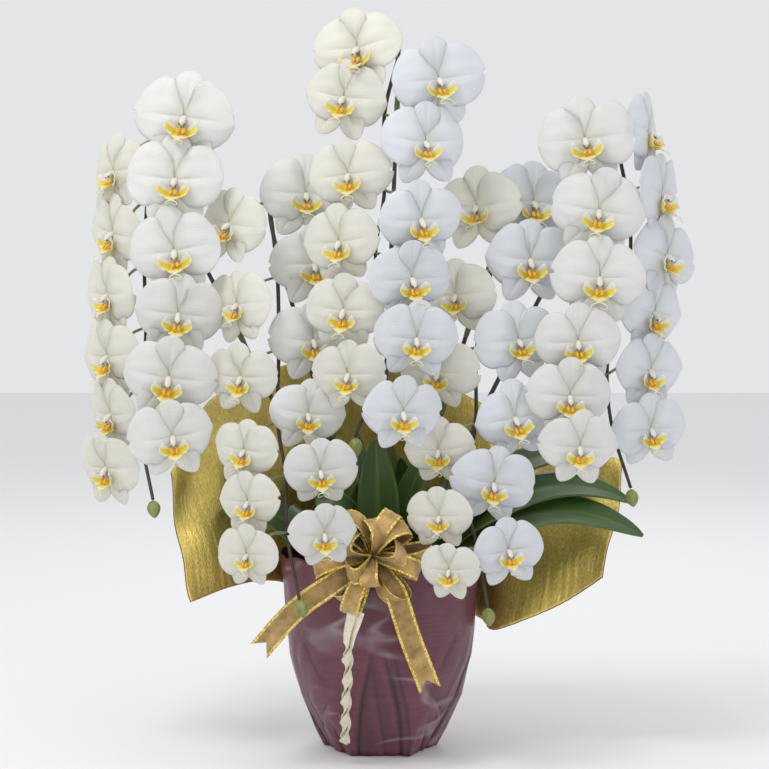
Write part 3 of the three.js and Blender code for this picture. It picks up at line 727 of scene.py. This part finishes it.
def make_bloom(name, flower, material, rng):
    tint = np.array(flower["tint"]) * rng.uniform(0.95, 1.03)
    pile = Pile()
    crown = rng.uniform(0.42, 0.47)
    add_sepal(pile, 90, crown, 0.165, 0.012, tint, rng, blunt=0.5, swell=0.8)
    for angle in (-60, -120):
        add_sepal(pile, angle, 0.49, 0.155, 0.03, tint * 0.95, rng, blunt=0.66)
    for side in (-1, 1):
        add_petal(pile, side, tint, rng)
    first = len(pile.vertices)
    add_lip(pile, rng)
    size = LIP_SIZE * rng.uniform(0.93, 1.05)
    for i in range(first, len(pile.vertices)):
        pile.vertices[i] = pile.vertices[i] * size
    turn = flower["turn"] + rng.uniform(-0.12, 0.12)
    nod = flower["nod"] + rng.uniform(-0.12, 0.08)
    roll = rng.uniform(-0.16, 0.16)
    place = flower["place"] * MM
    scale = flower["width"] * MM * rng.uniform(0.97, 1.03)
    vertices = pile.moved(place, turn, nod, roll, scale)
    return pile.piece(name, [material], "petal", vertices)


# ---------- stems, stalks and buds ----------


def add_bud(pile, place, length, tint, lean):
    """A closed bud: three sepals that meet along low seams."""
    rows, sides = 15, 18
    steps = np.linspace(0, 1, rows)
    angles = full_turn(sides)
    radius = 0.36 * length * np.sin(np.pi * steps**0.85) ** 0.72
    seam = 1 - 0.09 * bell(np.sin(1.5 * angles), 0.22)
    axis = unit(np.array(lean, float))
    side = unit(np.cross(axis, (0.2, 1.0, 0.1)))
    section = seam[:, None] * swung(angles, side, np.cross(axis, side))
    rings = np.array([
        place + axis * length * (s - 0.05) + r * section for s, r in zip(steps, radius)
    ])
    # Painted shade: the bud is darker along the low seams between its sepals.
    shade = tint * (0.85 + 2 * (seam[:, None] - 0.9))
    pile.add(rings, (0, 0), shade, round_rows=True)


def make_spike(index, materials, rng):
    """The stem with its nodes, the flower stalks and the end bud, then the twelve blooms."""
    spike, number = SPIKES[index], index + 1
    points = np.array(stem_points(index))
    line = spline(points, STEM_ROWS) * MM
    share = np.linspace(0, 1, STEM_ROWS)
    radii = (STEM_RADIUS - STEM_TAPER * share) * MM
    green, dark = np.array([0.13, 0.17, 0.05]), np.array([0.045, 0.03, 0.028])
    mix = np.clip((share - 0.05) / 0.2, 0, 1)[:, None, None]
    pile = Pile()
    rings = tube_rings(line, radii, 12)
    pile.add(rings, (0, 0), green * (1 - mix) + dark * mix, round_rows=True)
    add_nodes(pile, line, radii, green)
    first = len(points) - 1 - len(spike["left"])
    for rank in ("left", "right"):
        for i, flower in enumerate(spike[rank]):
            add_stalk(pile, points[first + i], flower)
    tip = (points[-1] - (0, 0, 2)) * MM
    axis = np.array([0.15 if index != 1 else 0.3, -0.3, -1.0])
    add_bud(pile, tip, BUD_LENGTH * MM, np.array([0.25, 0.27, 0.08]), axis)
    stem = pile.piece(f"spike_{number}_stem", [materials["stem"]], "petal")
    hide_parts(f"flower_spike_{number}")
    for rank in ("left", "right"):
        for i, flower in enumerate(spike[rank]):
            name = f"bloom_{number}_{rank}_{i + 1}"
            make_bloom(name, flower, materials["petal"], rng)


def add_nodes(pile, line, radii, tint):
    """Swollen joints along the rising stem."""
    for at in STEM_NODES:
        section = line[at - 2 : at + 3]
        swell = radii[at - 2 : at + 3] * np.array([1.05, 1.25, 1.4, 1.25, 1.02])
        add_tube(pile, section, swell, tint * 0.8, 12, closed=False)


def add_stalk(pile, start, flower):
    """A flower's own stalk, curving from the stem to the back of the bloom."""
    back = np.array([-math.sin(flower["turn"]), math.cos(flower["turn"]), 0.0])
    end = flower["place"] + back * 1.5
    near = end + back * 12 + (0, 0, 3)
    middle = (np.array(start) + near) / 2 + (0, 0, 7)
    line = spline([start, middle, near, end], 14) * MM
    pale, green = np.array([0.62, 0.62, 0.42]), np.array([0.2, 0.26, 0.09])
    share = np.linspace(0, 1, len(line))[:, None, None]
    rings = tube_rings(line, np.linspace(1.7, 1.5, len(line)) * MM, 8)
    tints = green * (1 - share) + pale * share
    pile.add(rings, (0, 0), tints, round_rows=True)


def make_wire(index, material):
    points = np.array(stem_points(index))
    line = spline(points, 240)
    line = line[: int(len(line) * WIRE_END_SHARE)]
    line = line + unit(np.cross(directions(line), (1.0, 0.0, 0.0))) * WIRE_OFFSET
    foot = stem_foot(index) + (0, WIRE_OFFSET, 0)
    below = [foot * (1, 1, 0) + (0, 0, z) for z in (90, 120, 160)]
    route = spline(np.vstack([below, line[::8], line[-1:]]), 90) * MM
    pile = Pile()
    add_tube(pile, route, WIRE_RADIUS * MM, (1, 1, 1), 8)
    wire = pile.piece(f"wire_{index + 1}", [material], "wire")
    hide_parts(f"support_wire_{index + 1}")


# ---------- leaves ----------

# Direction in degrees from +X, reach, rise of the tip, rise of the arch and width in millimetres,
# and roll in degrees that turns the blade's face to the front.
LEAVES = [
    [(176, 120, 68, 66, 60, -24), (232, 64, 60, 61, 51, -21), (2, 24, 132, 82, 40, 10)],
    [(150, 66, 96, 80, 54, 0), (312, 24, 120, 76, 36, 0), (204, 44, 150, 96, 42, 0)],
    [
        (190, 63, 86, 76, 59, -37), (2, 56, 156, 94, 52, 30), (263, 28, 150, 92, 49, 0),
        (140, 28, 150, 92, 26, 0),
    ],
    [(28, 72, 90, 78, 56, 0), (254, 26, 126, 78, 34, 0), (156, 26, 160, 96, 34, 0)],
    [
        (346, 238, 52, 72, 64, 30), (355, 222, 78, 88, 60, 30), (6, 188, 112, 106, 54, 28),
        (300, 66, 40, 50, 52, 20),
    ],
]
LEAF_WALL = 1.8
LEAF_START = 11
LEAF_BASE_Z = 204
LEAF_BASE_STEP = 7


def make_leaf(plant, order, material, rng):
    direction, reach, tip_rise, arch_rise, width, roll = LEAVES[plant][order]
    angle = math.radians(direction)
    out = np.array([math.cos(angle), math.sin(angle), 0.0])
    across = np.array([-math.sin(angle), math.cos(angle), 0.0])
    base = crown_place(plant) * (1, 1, 0) + UP * (LEAF_BASE_Z + LEAF_BASE_STEP * order)
    rows, columns = 33, 13
    arch = 2 * arch_rise - tip_rise / 2
    t = np.linspace(0, 1, 60)[:, None]
    bend = (
        (1 - t) ** 2 * (base + out * LEAF_START)
        + 2 * t * (1 - t) * (base + out * (LEAF_START + reach * 0.45) + UP * arch)
        + t**2 * (base + out * (LEAF_START + reach) + UP * tip_rise)
    )
    spine = spline(bend, rows)
    along = directions(spine)
    up = np.cross(along, across)
    share = np.linspace(0, 1, rows)
    lean = np.radians(roll) * np.clip(share * 2.5, 0, 1)
    across, up = swung(lean, across, up), swung(lean, up, -across)
    swell = np.sin(np.pi * np.minimum(1, share**0.8)) ** 0.6
    half = (width / 2) * np.maximum(swell, np.where(share < 0.5, 0.26, 0.06))
    v = np.linspace(-1, 1, columns)
    fold = 0.22 * np.abs(v) + 0.05 * np.cos(np.pi * v)
    wave = 1.2 * np.sin(share * rng.uniform(7, 11) + rng.uniform(0, 6))[:, None] * np.abs(v) ** 2
    points = (
        spine[:, None]
        + across[:, None] * (half[:, None] * v)[..., None]
        + up[:, None] * (half[:, None] * fold + wave * (half[:, None] / (width / 2)))[..., None]
    )
    green = np.array([0.034, 0.088, 0.011]) * rng.uniform(0.75, 1.25)
    rib = bell(v, 0.07)[None, :, None] * 0.4
    edge = np.clip((np.abs(v) - 0.9) / 0.1, 0, 1)[None, :, None] * 0.3
    foot = np.exp(-share / 0.1)[:, None, None] * 0.6
    pale = np.array([0.16, 0.24, 0.06])
    shade = green + (pale - green) * np.clip(rib + edge + foot, 0, 0.8)
    uvs = stacked(share[:, None], v)
    pile = Pile()
    pile.add_sheet(points * MM, uvs, shade, LEAF_WALL * MM)
    leaf = pile.piece(f"leaf_blade_{plant + 1}_{order + 1}", [material], "leaf")
    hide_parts(f"leaf_{plant + 1}_{order + 1}")


# ---------- pot and wrapping ----------

PROFILE_HEIGHTS = [0, 20, 60, 110, 170, 230]
POT_RADII = [62, 73, 92, 106, 113, 117]
WRAP_RADII = [68, 79, 97, 107.5, 113, 117]
WRAP_HEIGHT = 228
# Creases of the wrapping, each a straight line: its upper end and lower end, in degrees and
# millimetres, its depth, and how softly it fades to either side in degrees.
CREASES = [
    (-92, 142, -114, -5, 3.6, 1.0, 9), (-89, 136, -66, -5, 5.2, 6.5, 1.0),
    (-86, 145, -60, -5, -3.0, 7, 1.5), (-97, 120, -84, -5, 1.8, 2, 6),
    (-120, 78, -166, 12, 4.0, 9, 2), (-59, 84, -26, 40, 4.2, 2, 9),
    (-50, 52, -36, -5, 3.2, 6, 2), (-132, 40, -136, -5, 3.0, 2, 8),
    (-150, 150, -128, 84, 1.8, 3, 9), (-30, 160, -52, 96, 1.8, 9, 3),
    (-118, 225, -104, 150, 1.2, 3, 7), (-66, 225, -80, 150, 1.4, 7, 3),
    (-8, 130, -22, -5, 4.5, 8, 2), (14, 96, 32, -5, 4.0, 2, 9),
    (48, 140, 38, -5, 5.5, 8, 1.5), (74, 110, 62, -5, 4.0, 2, 9),
    (98, 150, 90, -5, 5.0, 8, 2), (120, 100, 130, -5, 4.0, 2, 8),
    (150, 134, 142, -5, 5.0, 9, 2), (176, 90, 186, -5, 4.2, 2, 9), (206, 120, 200, -5, 4, 7, 2),
]
FACET_SIDES = 6


def wrap_relief(angle, z):
    """The wrapping's radius and its painted light and shade: six flat sides at the foot that round
    off upwards, sharp creases and soft waves, with shade and highlights painted along the creases
    and the foot's flat sides painted alternately lighter and darker."""
    radius = np.interp(z, PROFILE_HEIGHTS, WRAP_RADII)
    part = np.mod(angle * FACET_SIDES / (2 * np.pi), 1) - 0.5
    flat = np.clip(1 - z / 105, 0, 1) * 0.85
    polygon = math.cos(math.pi / FACET_SIDES) / np.cos(part * 2 * np.pi / FACET_SIDES)
    chord = 1 - flat * (1 - polygon)
    dent, painted_shading = np.zeros_like(radius), np.zeros_like(radius)
    for top_angle, top, low_angle, low, depth, soft_left, soft_right in CREASES:
        share = (top - z) / (top - low)
        middle = np.radians(top_angle + (low_angle - top_angle) * share)
        gap = np.degrees(np.angle(np.exp(1j * (angle - middle))))
        fade = np.exp(-np.abs(gap) / np.where(gap < 0, soft_left, soft_right))
        ends = np.clip(share * 3, 0, 1) * np.clip((1 - share) * 5 + (low < 0), 0, 1)
        ends = np.clip(ends, 0, 1) * (share > 0) * (share <= 1)
        line = np.exp(-np.abs(gap) / 1.3)
        dent += depth * fade * ends
        # Painted shade along the crease line and its softer side, and a painted highlight a few
        # degrees beside it.
        painted_shading += np.abs(depth) * ends * (0.2 * line + 0.08 * fade - 0.1 * bell(gap + 4, 2.5))
    wave = 1.0 * np.sin(5 * angle + z / 60) + 0.7 * np.sin(9 * angle - z / 35)
    fine = 0.3 * np.sin(23 * angle + 3 * np.sin(z / 28)) + 0.2 * np.sin(31 * angle - z / 9)
    # Painted light and shade: the foot's flat sides alternately lighter and darker.
    painted_shading += flat * 0.12 * np.sin(3 * angle + 0.6)
    return radius * chord - 1.6 + 0.6 * wave + fine - dent, painted_shading


def wrap_shell(name, inset, wall, low, high, material, slot, has_floor, ruffle):
    """The wrapping's outside and inside as one closed skin, with or without a floor."""
    sides, rows = 480, 100
    angles = full_turn(sides)
    grid, shading_tints = [], []
    for z in np.linspace(low, high, rows):
        radius, dark = wrap_relief(angles, np.full(sides, z))
        # The painted shade and highlights of the creases go into the tint.
        shading_tints.append(1 - np.clip(dark, -0.6, 0.8))
        lift = ruffle * (z / high) ** 8 * (np.sin(7 * angles) + 0.6 * np.sin(17 * angles + 1))
        grid.append(level_ring(radius - inset, z + lift, sides))
    outer = np.array(grid)
    shrink = 1 - wall / np.linalg.norm(outer[..., :2], axis=-1, keepdims=True)
    inner = outer * np.concatenate([shrink, shrink, np.ones_like(shrink)], axis=-1)
    rings, shades = [*outer, *inner[::-1]], [*shading_tints, *shading_tints[::-1]]
    if has_floor:
        inside = inner[0] * (1, 1, 0) + UP * wall
        below = [outer[0] * (f, f, 1) for f in (0.05, 0.5)]
        above = [inside * (f, f, 1) for f in (0.5, 0.05)]
        rings = [*below, *rings[:-1], inside, *above]
        shades = [shading_tints[0]] * 2 + shades + [shading_tints[0]] * 2
    shades = np.repeat(np.array(shades)[..., None], 3, axis=-1)
    pile = Pile()
    pile.add(np.array(rings) * MM, (0, 0), shades, round_rows=True)
    last = pile.count - sides
    if has_floor:
        pile.add_face(range(sides)[::-1])
        pile.add_face(range(last, pile.count))
    else:
        for i in range(sides):
            j = (i + 1) % sides
            pile.add_face((last + i, last + j, j, i))
    return pile.piece(name, [material], slot)


def make_wrapping(materials):
    paper = wrap_shell(
        "mauve_wrapping", 0, 0.7, 0, WRAP_HEIGHT, materials["mauve"], "mauve_paper", True, 1.5
    )
    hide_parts("wrap_paper")
    film = wrap_shell(
        "film_sleeve", -1.3, 0.2, 4, WRAP_HEIGHT - 3, materials["film"], "clear_film", False, 2.5
    )
    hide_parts("clear_film")


def make_pot(material):
    """The glazed pot under the wrapping, with a rolled rim."""
    sides = 72
    outer = [(z, np.interp(z, PROFILE_HEIGHTS, POT_RADII) - 9) for z in np.linspace(2, 200, 26)]
    top_radius = outer[-1][1]
    rim = [
        (200 + 4 * math.sin(a), top_radius - 3 + 3.6 * math.cos(a))
        for a in np.linspace(0, np.pi, 8)
    ]
    inner = [(z, r - 6) for z, r in outer[::-1] if z > 12]
    profile = [(2, 0.5), *outer, *rim, *inner, (10, inner[-1][1] - 4), (9.6, 0.5)]
    rings = np.array([level_ring(r, z, sides) for z, r in profile])
    pile = Pile()
    pile.add(rings * MM, (0, 0), (1, 1, 1), round_rows=True)
    pot = pile.piece("pot_glazed", [material], "glazed_pot")
    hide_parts("ceramic_pot")


def make_moss(material, rng):
    """A lumpy moss mat over the root balls."""
    rows, sides = 40, 150
    low, high = 176.0, 191.0
    rings = []
    for i in range(rows):
        radius = 96 * (i + 0.2) / (rows - 0.8)
        ring = level_ring(radius, high, sides)
        x, y = ring[:, 0], ring[:, 1]
        lumps = np.sin(x / 7 + 2 * np.sin(y / 11)) * np.cos(y / 6 + x / 23)
        lumps += 0.6 * np.sin(x / 3.1 + y / 2.7) * np.sin(y / 3.7) + rng.normal(0, 0.25, sides)
        edge = 6 * np.clip((radius - 80) / 16, 0, 1) ** 2
        rings.append(ring + UP * (lumps * 1.1 - edge)[:, None])
    under = level_ring(radius, low, sides)
    rings += [under, under * (0.02, 0.02, 1)]
    pile = Pile()
    pile.add(np.array(rings) * MM, (0, 0), (1, 1, 1), round_rows=True)
    moss = pile.piece("moss_mat", [material], "moss")
    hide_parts("moss_cover")


# ---------- gold collar ----------

COLLAR_LOWER = [
    (-212, -78, 183), (-168, -26, 192), (-127, 26, 190), (-84, 100, 165), (0, 132, 150),
    (84, 100, 150), (122, 30, 143), (134, -22, 140), (192, -40, 168), (252, -54, 208),
]
COLLAR_UPPER = [
    (-242, -22, 322), (-206, 26, 396), (-160, 66, 420), (-92, 112, 445), (0, 150, 440),
    (100, 132, 404), (178, 92, 366), (236, 52, 346), (284, 14, 333),
]
COLLAR_BULGE = 10
COLLAR_WALL = 0.4


def collar_points(offset, rng, rows=60, columns=330):
    """The crepe sheet: ruled between its edges, with folds, crinkles and a slight bulge."""
    lower, upper = spline(COLLAR_LOWER, columns), spline(COLLAR_UPPER, columns)
    v = np.linspace(0, 1, rows)[:, None, None]
    grid = lower[None] * (1 - v) + upper[None] * v
    grid[..., 2] -= COLLAR_BULGE * np.sin(np.pi * v[..., 0])
    along = np.gradient(grid, axis=1)
    up = np.gradient(grid, axis=0)
    out = unit(np.cross(up, along))
    u = np.linspace(0, 1, columns)[None, :]
    v = v[..., 0]
    free = np.sin(np.pi * np.clip(v, 0.08, 1)) ** 0.5
    fold = 6.0 * np.sin(34 * u + 2.2 * np.sin(4 * v + 3 * u)) * free * (0.4 + 0.6 * v)
    fold += 3.2 * np.sin(9 * v + 14 * u + 1.0) + 2.0 * np.sin(61 * u + 2.5 * v + 1) * v
    crinkle = rng.normal(0, 1, (1, columns))
    crinkle = 0.16 * (crinkle + np.roll(crinkle, 1)) + 0.1 * rng.normal(0, 1, (rows, columns))
    shift = fold + crinkle + offset
    return grid + out * shift[..., None], u, v


def make_collar(materials):
    for name, node, offset, material, slot, shade in (
        ("gold_crepe", "gold_collar", 0.0, materials["gold"], "gold_paper", (0.4, 0.4, 0.32)),
        ("mauve_backing", "collar_backing", 1.9, materials["mauve"], "mauve_paper", (1, 1, 1)),
    ):
        points, u, v = collar_points(offset, np.random.default_rng(7))
        uvs = stacked(u, v)
        # Painted shade: the middle of the gold collar is darkened, standing for shade cast by more
        # leaves than are modelled.
        leaf_shade = np.exp(-(((u - 0.5) / 0.19) ** 4)) * np.ones_like(v)
        tint = (1 - leaf_shade)[..., None] + leaf_shade[..., None] * np.array(shade)
        pile = Pile()
        pile.add_sheet(points * MM, uvs, tint, COLLAR_WALL * MM)
        piece = pile.piece(name, [material], slot)
        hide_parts(node)


# ---------- bow ----------

BOW_CENTRE = np.array([-8.0, -134.0, 242.0])
RIBBON_WIDTH = 25.0
RIBBON_WALL = 0.3
NOTCH = 13
EDGE_SHARE = 0.15  # of the ribbon's width, for each glitter edge
# Direction in degrees in the front view, reach, swell to the front, and turn about its own line.
BOW_LOOPS = [
    (132, 56, 22, 50), (62, 54, 20, -20), (8, 66, 18, 30), (34, 50, 24, -35), (98, 42, 28, 25),
    (168, 56, 20, -30), (196, 66, 20, 25), (222, 60, 26, -45), (250, 68, 30, 12),
    (312, 60, 24, 45), (340, 54, 26, -15), (45, 32, 40, 30), (185, 30, 38, -25),
    (275, 32, 36, 10), (110, 30, 38, -40),
]
# A loop's line out and back: share of its reach, share of its swell.
LOOP_LINE = [
    (0.03, 0.05), (0.26, 0.6), (0.6, 1), (0.86, 0.86), (1, 0.45), (0.95, 0.1), (0.7, -0.06),
    (0.35, -0.08), (0.04, 0),
]
LEFT_TAIL = [(-12, -134, 238), (-50, -146, 215), (-94, -148, 182), (-134, -146, 138)]
RIGHT_TAIL = [(-2, -134, 238), (18, -146, 200), (34, -144, 150), (56, -136, 92)]
PICK_RADIUS = 1.2
PICK_ROUTE = [(-8, -124, 244), (-6, -110, 244), (4, -98, 234), (10, -93, 214), (11, -92, 190)]


def ribbon_piece(name, line, across, widths, gather, materials, shade, notch=0.0):
    """A ribbon along a line, its width along across, with glitter edges. gather puckers it, and
    notch is the depth of the cut in its end."""
    v = np.linspace(-1, 1, 17)
    along = directions(line)
    side = unit(across - along * np.sum(across * along, axis=1)[:, None])
    pucker = gather[:, None] * np.sin(v * 7.5)
    points = line[:, None] + side[:, None] * (widths[:, None] / 2 * v)[..., None]
    points += np.cross(along, side)[:, None] * pucker[..., None]
    if notch:
        pull = notch * (1 - np.abs(v))
        tangent = unit(points[-1] - points[-2])
        for back in range(1, 9):
            points[-back] -= tangent * (pull * (1 - (back - 1) / 8))[:, None]
    mid = (v[:-1] + v[1:]) / 2
    picks = [int(share > 1 - 2 * EDGE_SHARE) for share in np.abs(mid)]
    uvs = stacked(v, np.linspace(0, 1, len(line))[:, None])
    pile = Pile()
    pile.add_sheet(points * MM, uvs, shade[:, None, None], RIBBON_WALL * MM, picks)
    return pile.piece(name, materials, "organza")


def make_bow(materials):
    finishes = [materials["organza"], materials["glitter"]]
    for number, (direction, reach, forward, turn) in enumerate(BOW_LOOPS, 1):
        angle, turn = math.radians(direction), math.radians(turn)
        out = np.array([math.cos(angle), 0.0, math.sin(angle)])
        level = np.array([-math.sin(angle), 0.0, math.cos(angle)])
        across, front = swung(turn, level, -BACKWARDS), swung(turn, -BACKWARDS, -level)
        line = np.array([
            BOW_CENTRE + out * reach * far + front * forward * high for far, high in LOOP_LINE
        ])
        line = spline(line, 48)
        share = np.linspace(0, 1, len(line))
        open_share = np.sin(np.pi * share) ** 0.55
        widths = RIBBON_WIDTH * (0.2 + 0.68 * open_share)
        gather = 1.5 * (1 - open_share) + 0.25
        # Painted shade: each loop is darker towards its ends at the knot, and along its returning
        # half, which lies underneath.
        under = np.clip((share - 0.55) / 0.15, 0, 1)
        shade = (0.22 + 0.93 * open_share**1.6) * (1 - 0.5 * under)
        name = f"bow_loop_{number}"
        loop = ribbon_piece(name, line, across, widths, gather, finishes, shade)
    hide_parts("bow_ribbon")
    pile = Pile()
    add_tube(pile, spline(PICK_ROUTE, 40) * MM, PICK_RADIUS * MM, (1, 1, 1), 8)
    pick = pile.piece("bow_wire", [materials["wire"]], "wire")
    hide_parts("bow_pick")
    for name, tail in (("bow_tail_left", LEFT_TAIL), ("bow_tail_right", RIGHT_TAIL)):
        line = spline(tail, 50)
        across = np.cross(BACKWARDS, line[-1] - line[0])
        share = np.linspace(0, 1, len(line))
        line[:, 1] -= 4 * np.sin(share * 6.5)
        widths = RIBBON_WIDTH * np.minimum(1, 0.3 + 3 * share)
        gather = 1.8 * np.exp(-share / 0.12) + 0.15
        # Painted shade: the tail is darker near the knot, under the bow.
        shade = 0.45 + 0.6 * share**0.5
        tail_piece = ribbon_piece(name, line, across, widths, gather, finishes, shade, NOTCH)


# The cord's route, in metres.
CORD_ROUTE = [
    (-0.026, -0.151, 0.183), (-0.029, -0.152, 0.172), (-0.033, -0.149, 0.158),
    (-0.035, -0.144, 0.144), (-0.036, -0.138, 0.130), (-0.036, -0.133, 0.118),
    (-0.036, -0.129, 0.106), (-0.037, -0.1245, 0.094), (-0.038, -0.121, 0.082),
    (-0.038, -0.1165, 0.070), (-0.039, -0.1115, 0.058), (-0.039, -0.106, 0.046),
    (-0.040, -0.100, 0.035), (-0.040, -0.094, 0.024),
]


def make_cord(material):
    """Two flat strands of paper that come together and turn round each other to the hem."""
    line = spline(CORD_ROUTE, 200)
    along = directions(line)
    side = unit(np.cross(along, BACKWARDS))
    front = np.cross(along, side)
    share = np.linspace(0, 1, len(line))
    twist = 2 * np.pi * 2.4 * np.clip(share - 0.24, 0, 1) / 0.76
    apart = 0.0022 + 0.0020 * np.clip(1 - share / 0.3, 0, 1)
    loose = 1 + 0.2 * np.sin(share * 23) * (share > 0.3)
    pile = Pile()
    for phase in (0, np.pi):
        angle = twist + phase
        away, flat = swung(angle, side, front), swung(angle, front, -side)
        tilt = 1.1 * np.clip(1 - share / 0.3, 0, 1) + 0.35
        face, thin = swung(tilt, flat, away), swung(tilt, away, -flat)
        middle = line + away * (apart * loose)[:, None]
        corners = [(0.4, 4.9), (0, 5.2), (-0.4, 4.9), (-0.4, -4.9), (0, -5.2), (0.4, -4.9)]
        rings = np.stack([middle + (thin * a + face * b) * MM for a, b in corners], axis=1)
        pile.add(rings, (0, 0), (1, 1, 1), round_rows=True)
    cord = pile.piece("paper_cord", [material], "cream_cord")
    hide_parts("twisted_cord")


# ---------- put it together ----------


def dress_cad(materials):
    """Finishes for the CAD nodes that stay."""
    choices = {"root_ball": "moss", "crown": "crown", "stem_tie": "tie"}
    for name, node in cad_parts.items():
        for start, key in choices.items():
            if name.startswith(start):
                node.data.materials.clear()
                node.data.materials.append(materials[key])


def main():
    make_camera()
    make_light()
    make_floor()
    materials = {
        "petal": petal_material(),
        "leaf": leaf_material(),
        "stem": stem_material(),
        "mauve": mauve_material(),
        "film": film_material(),
        "gold": gold_material(),
        "organza": organza_material(),
        "glitter": glitter_material(),
        "wire": wire_material(),
        "cream": plain_material("cream_cord", (0.72, 0.65, 0.47), (0.90, 0.86, 0.72), 240, 0.7),
        "glaze": plain_material("glaze", (0.78, 0.76, 0.71), (0.86, 0.84, 0.8), 25, 0.15, 0.05),
        "moss": plain_material("moss", (0.06, 0.045, 0.018), (0.34, 0.27, 0.12), 140, 0.9, 1, 0.003),
        "crown": plain_material("crown", (0.08, 0.12, 0.03), (0.25, 0.33, 0.12), 90, 0.5),
        "tie": plain_material("tie", (0.03, 0.12, 0.03), (0.06, 0.2, 0.05), 120, 0.5),
    }
    make_cord(materials["cream"])
    rng = np.random.default_rng(11)
    for index in range(len(SPIKES)):
        make_spike(index, materials, rng)
        make_wire(index, materials["wire"])
        for order in range(len(LEAVES[index])):
            make_leaf(index, order, materials["leaf"], rng)
    make_wrapping(materials)
    make_pot(materials["glaze"])
    make_moss(materials["moss"], rng)
    make_collar(materials)
    make_bow(materials)
    dress_cad(materials)


main()
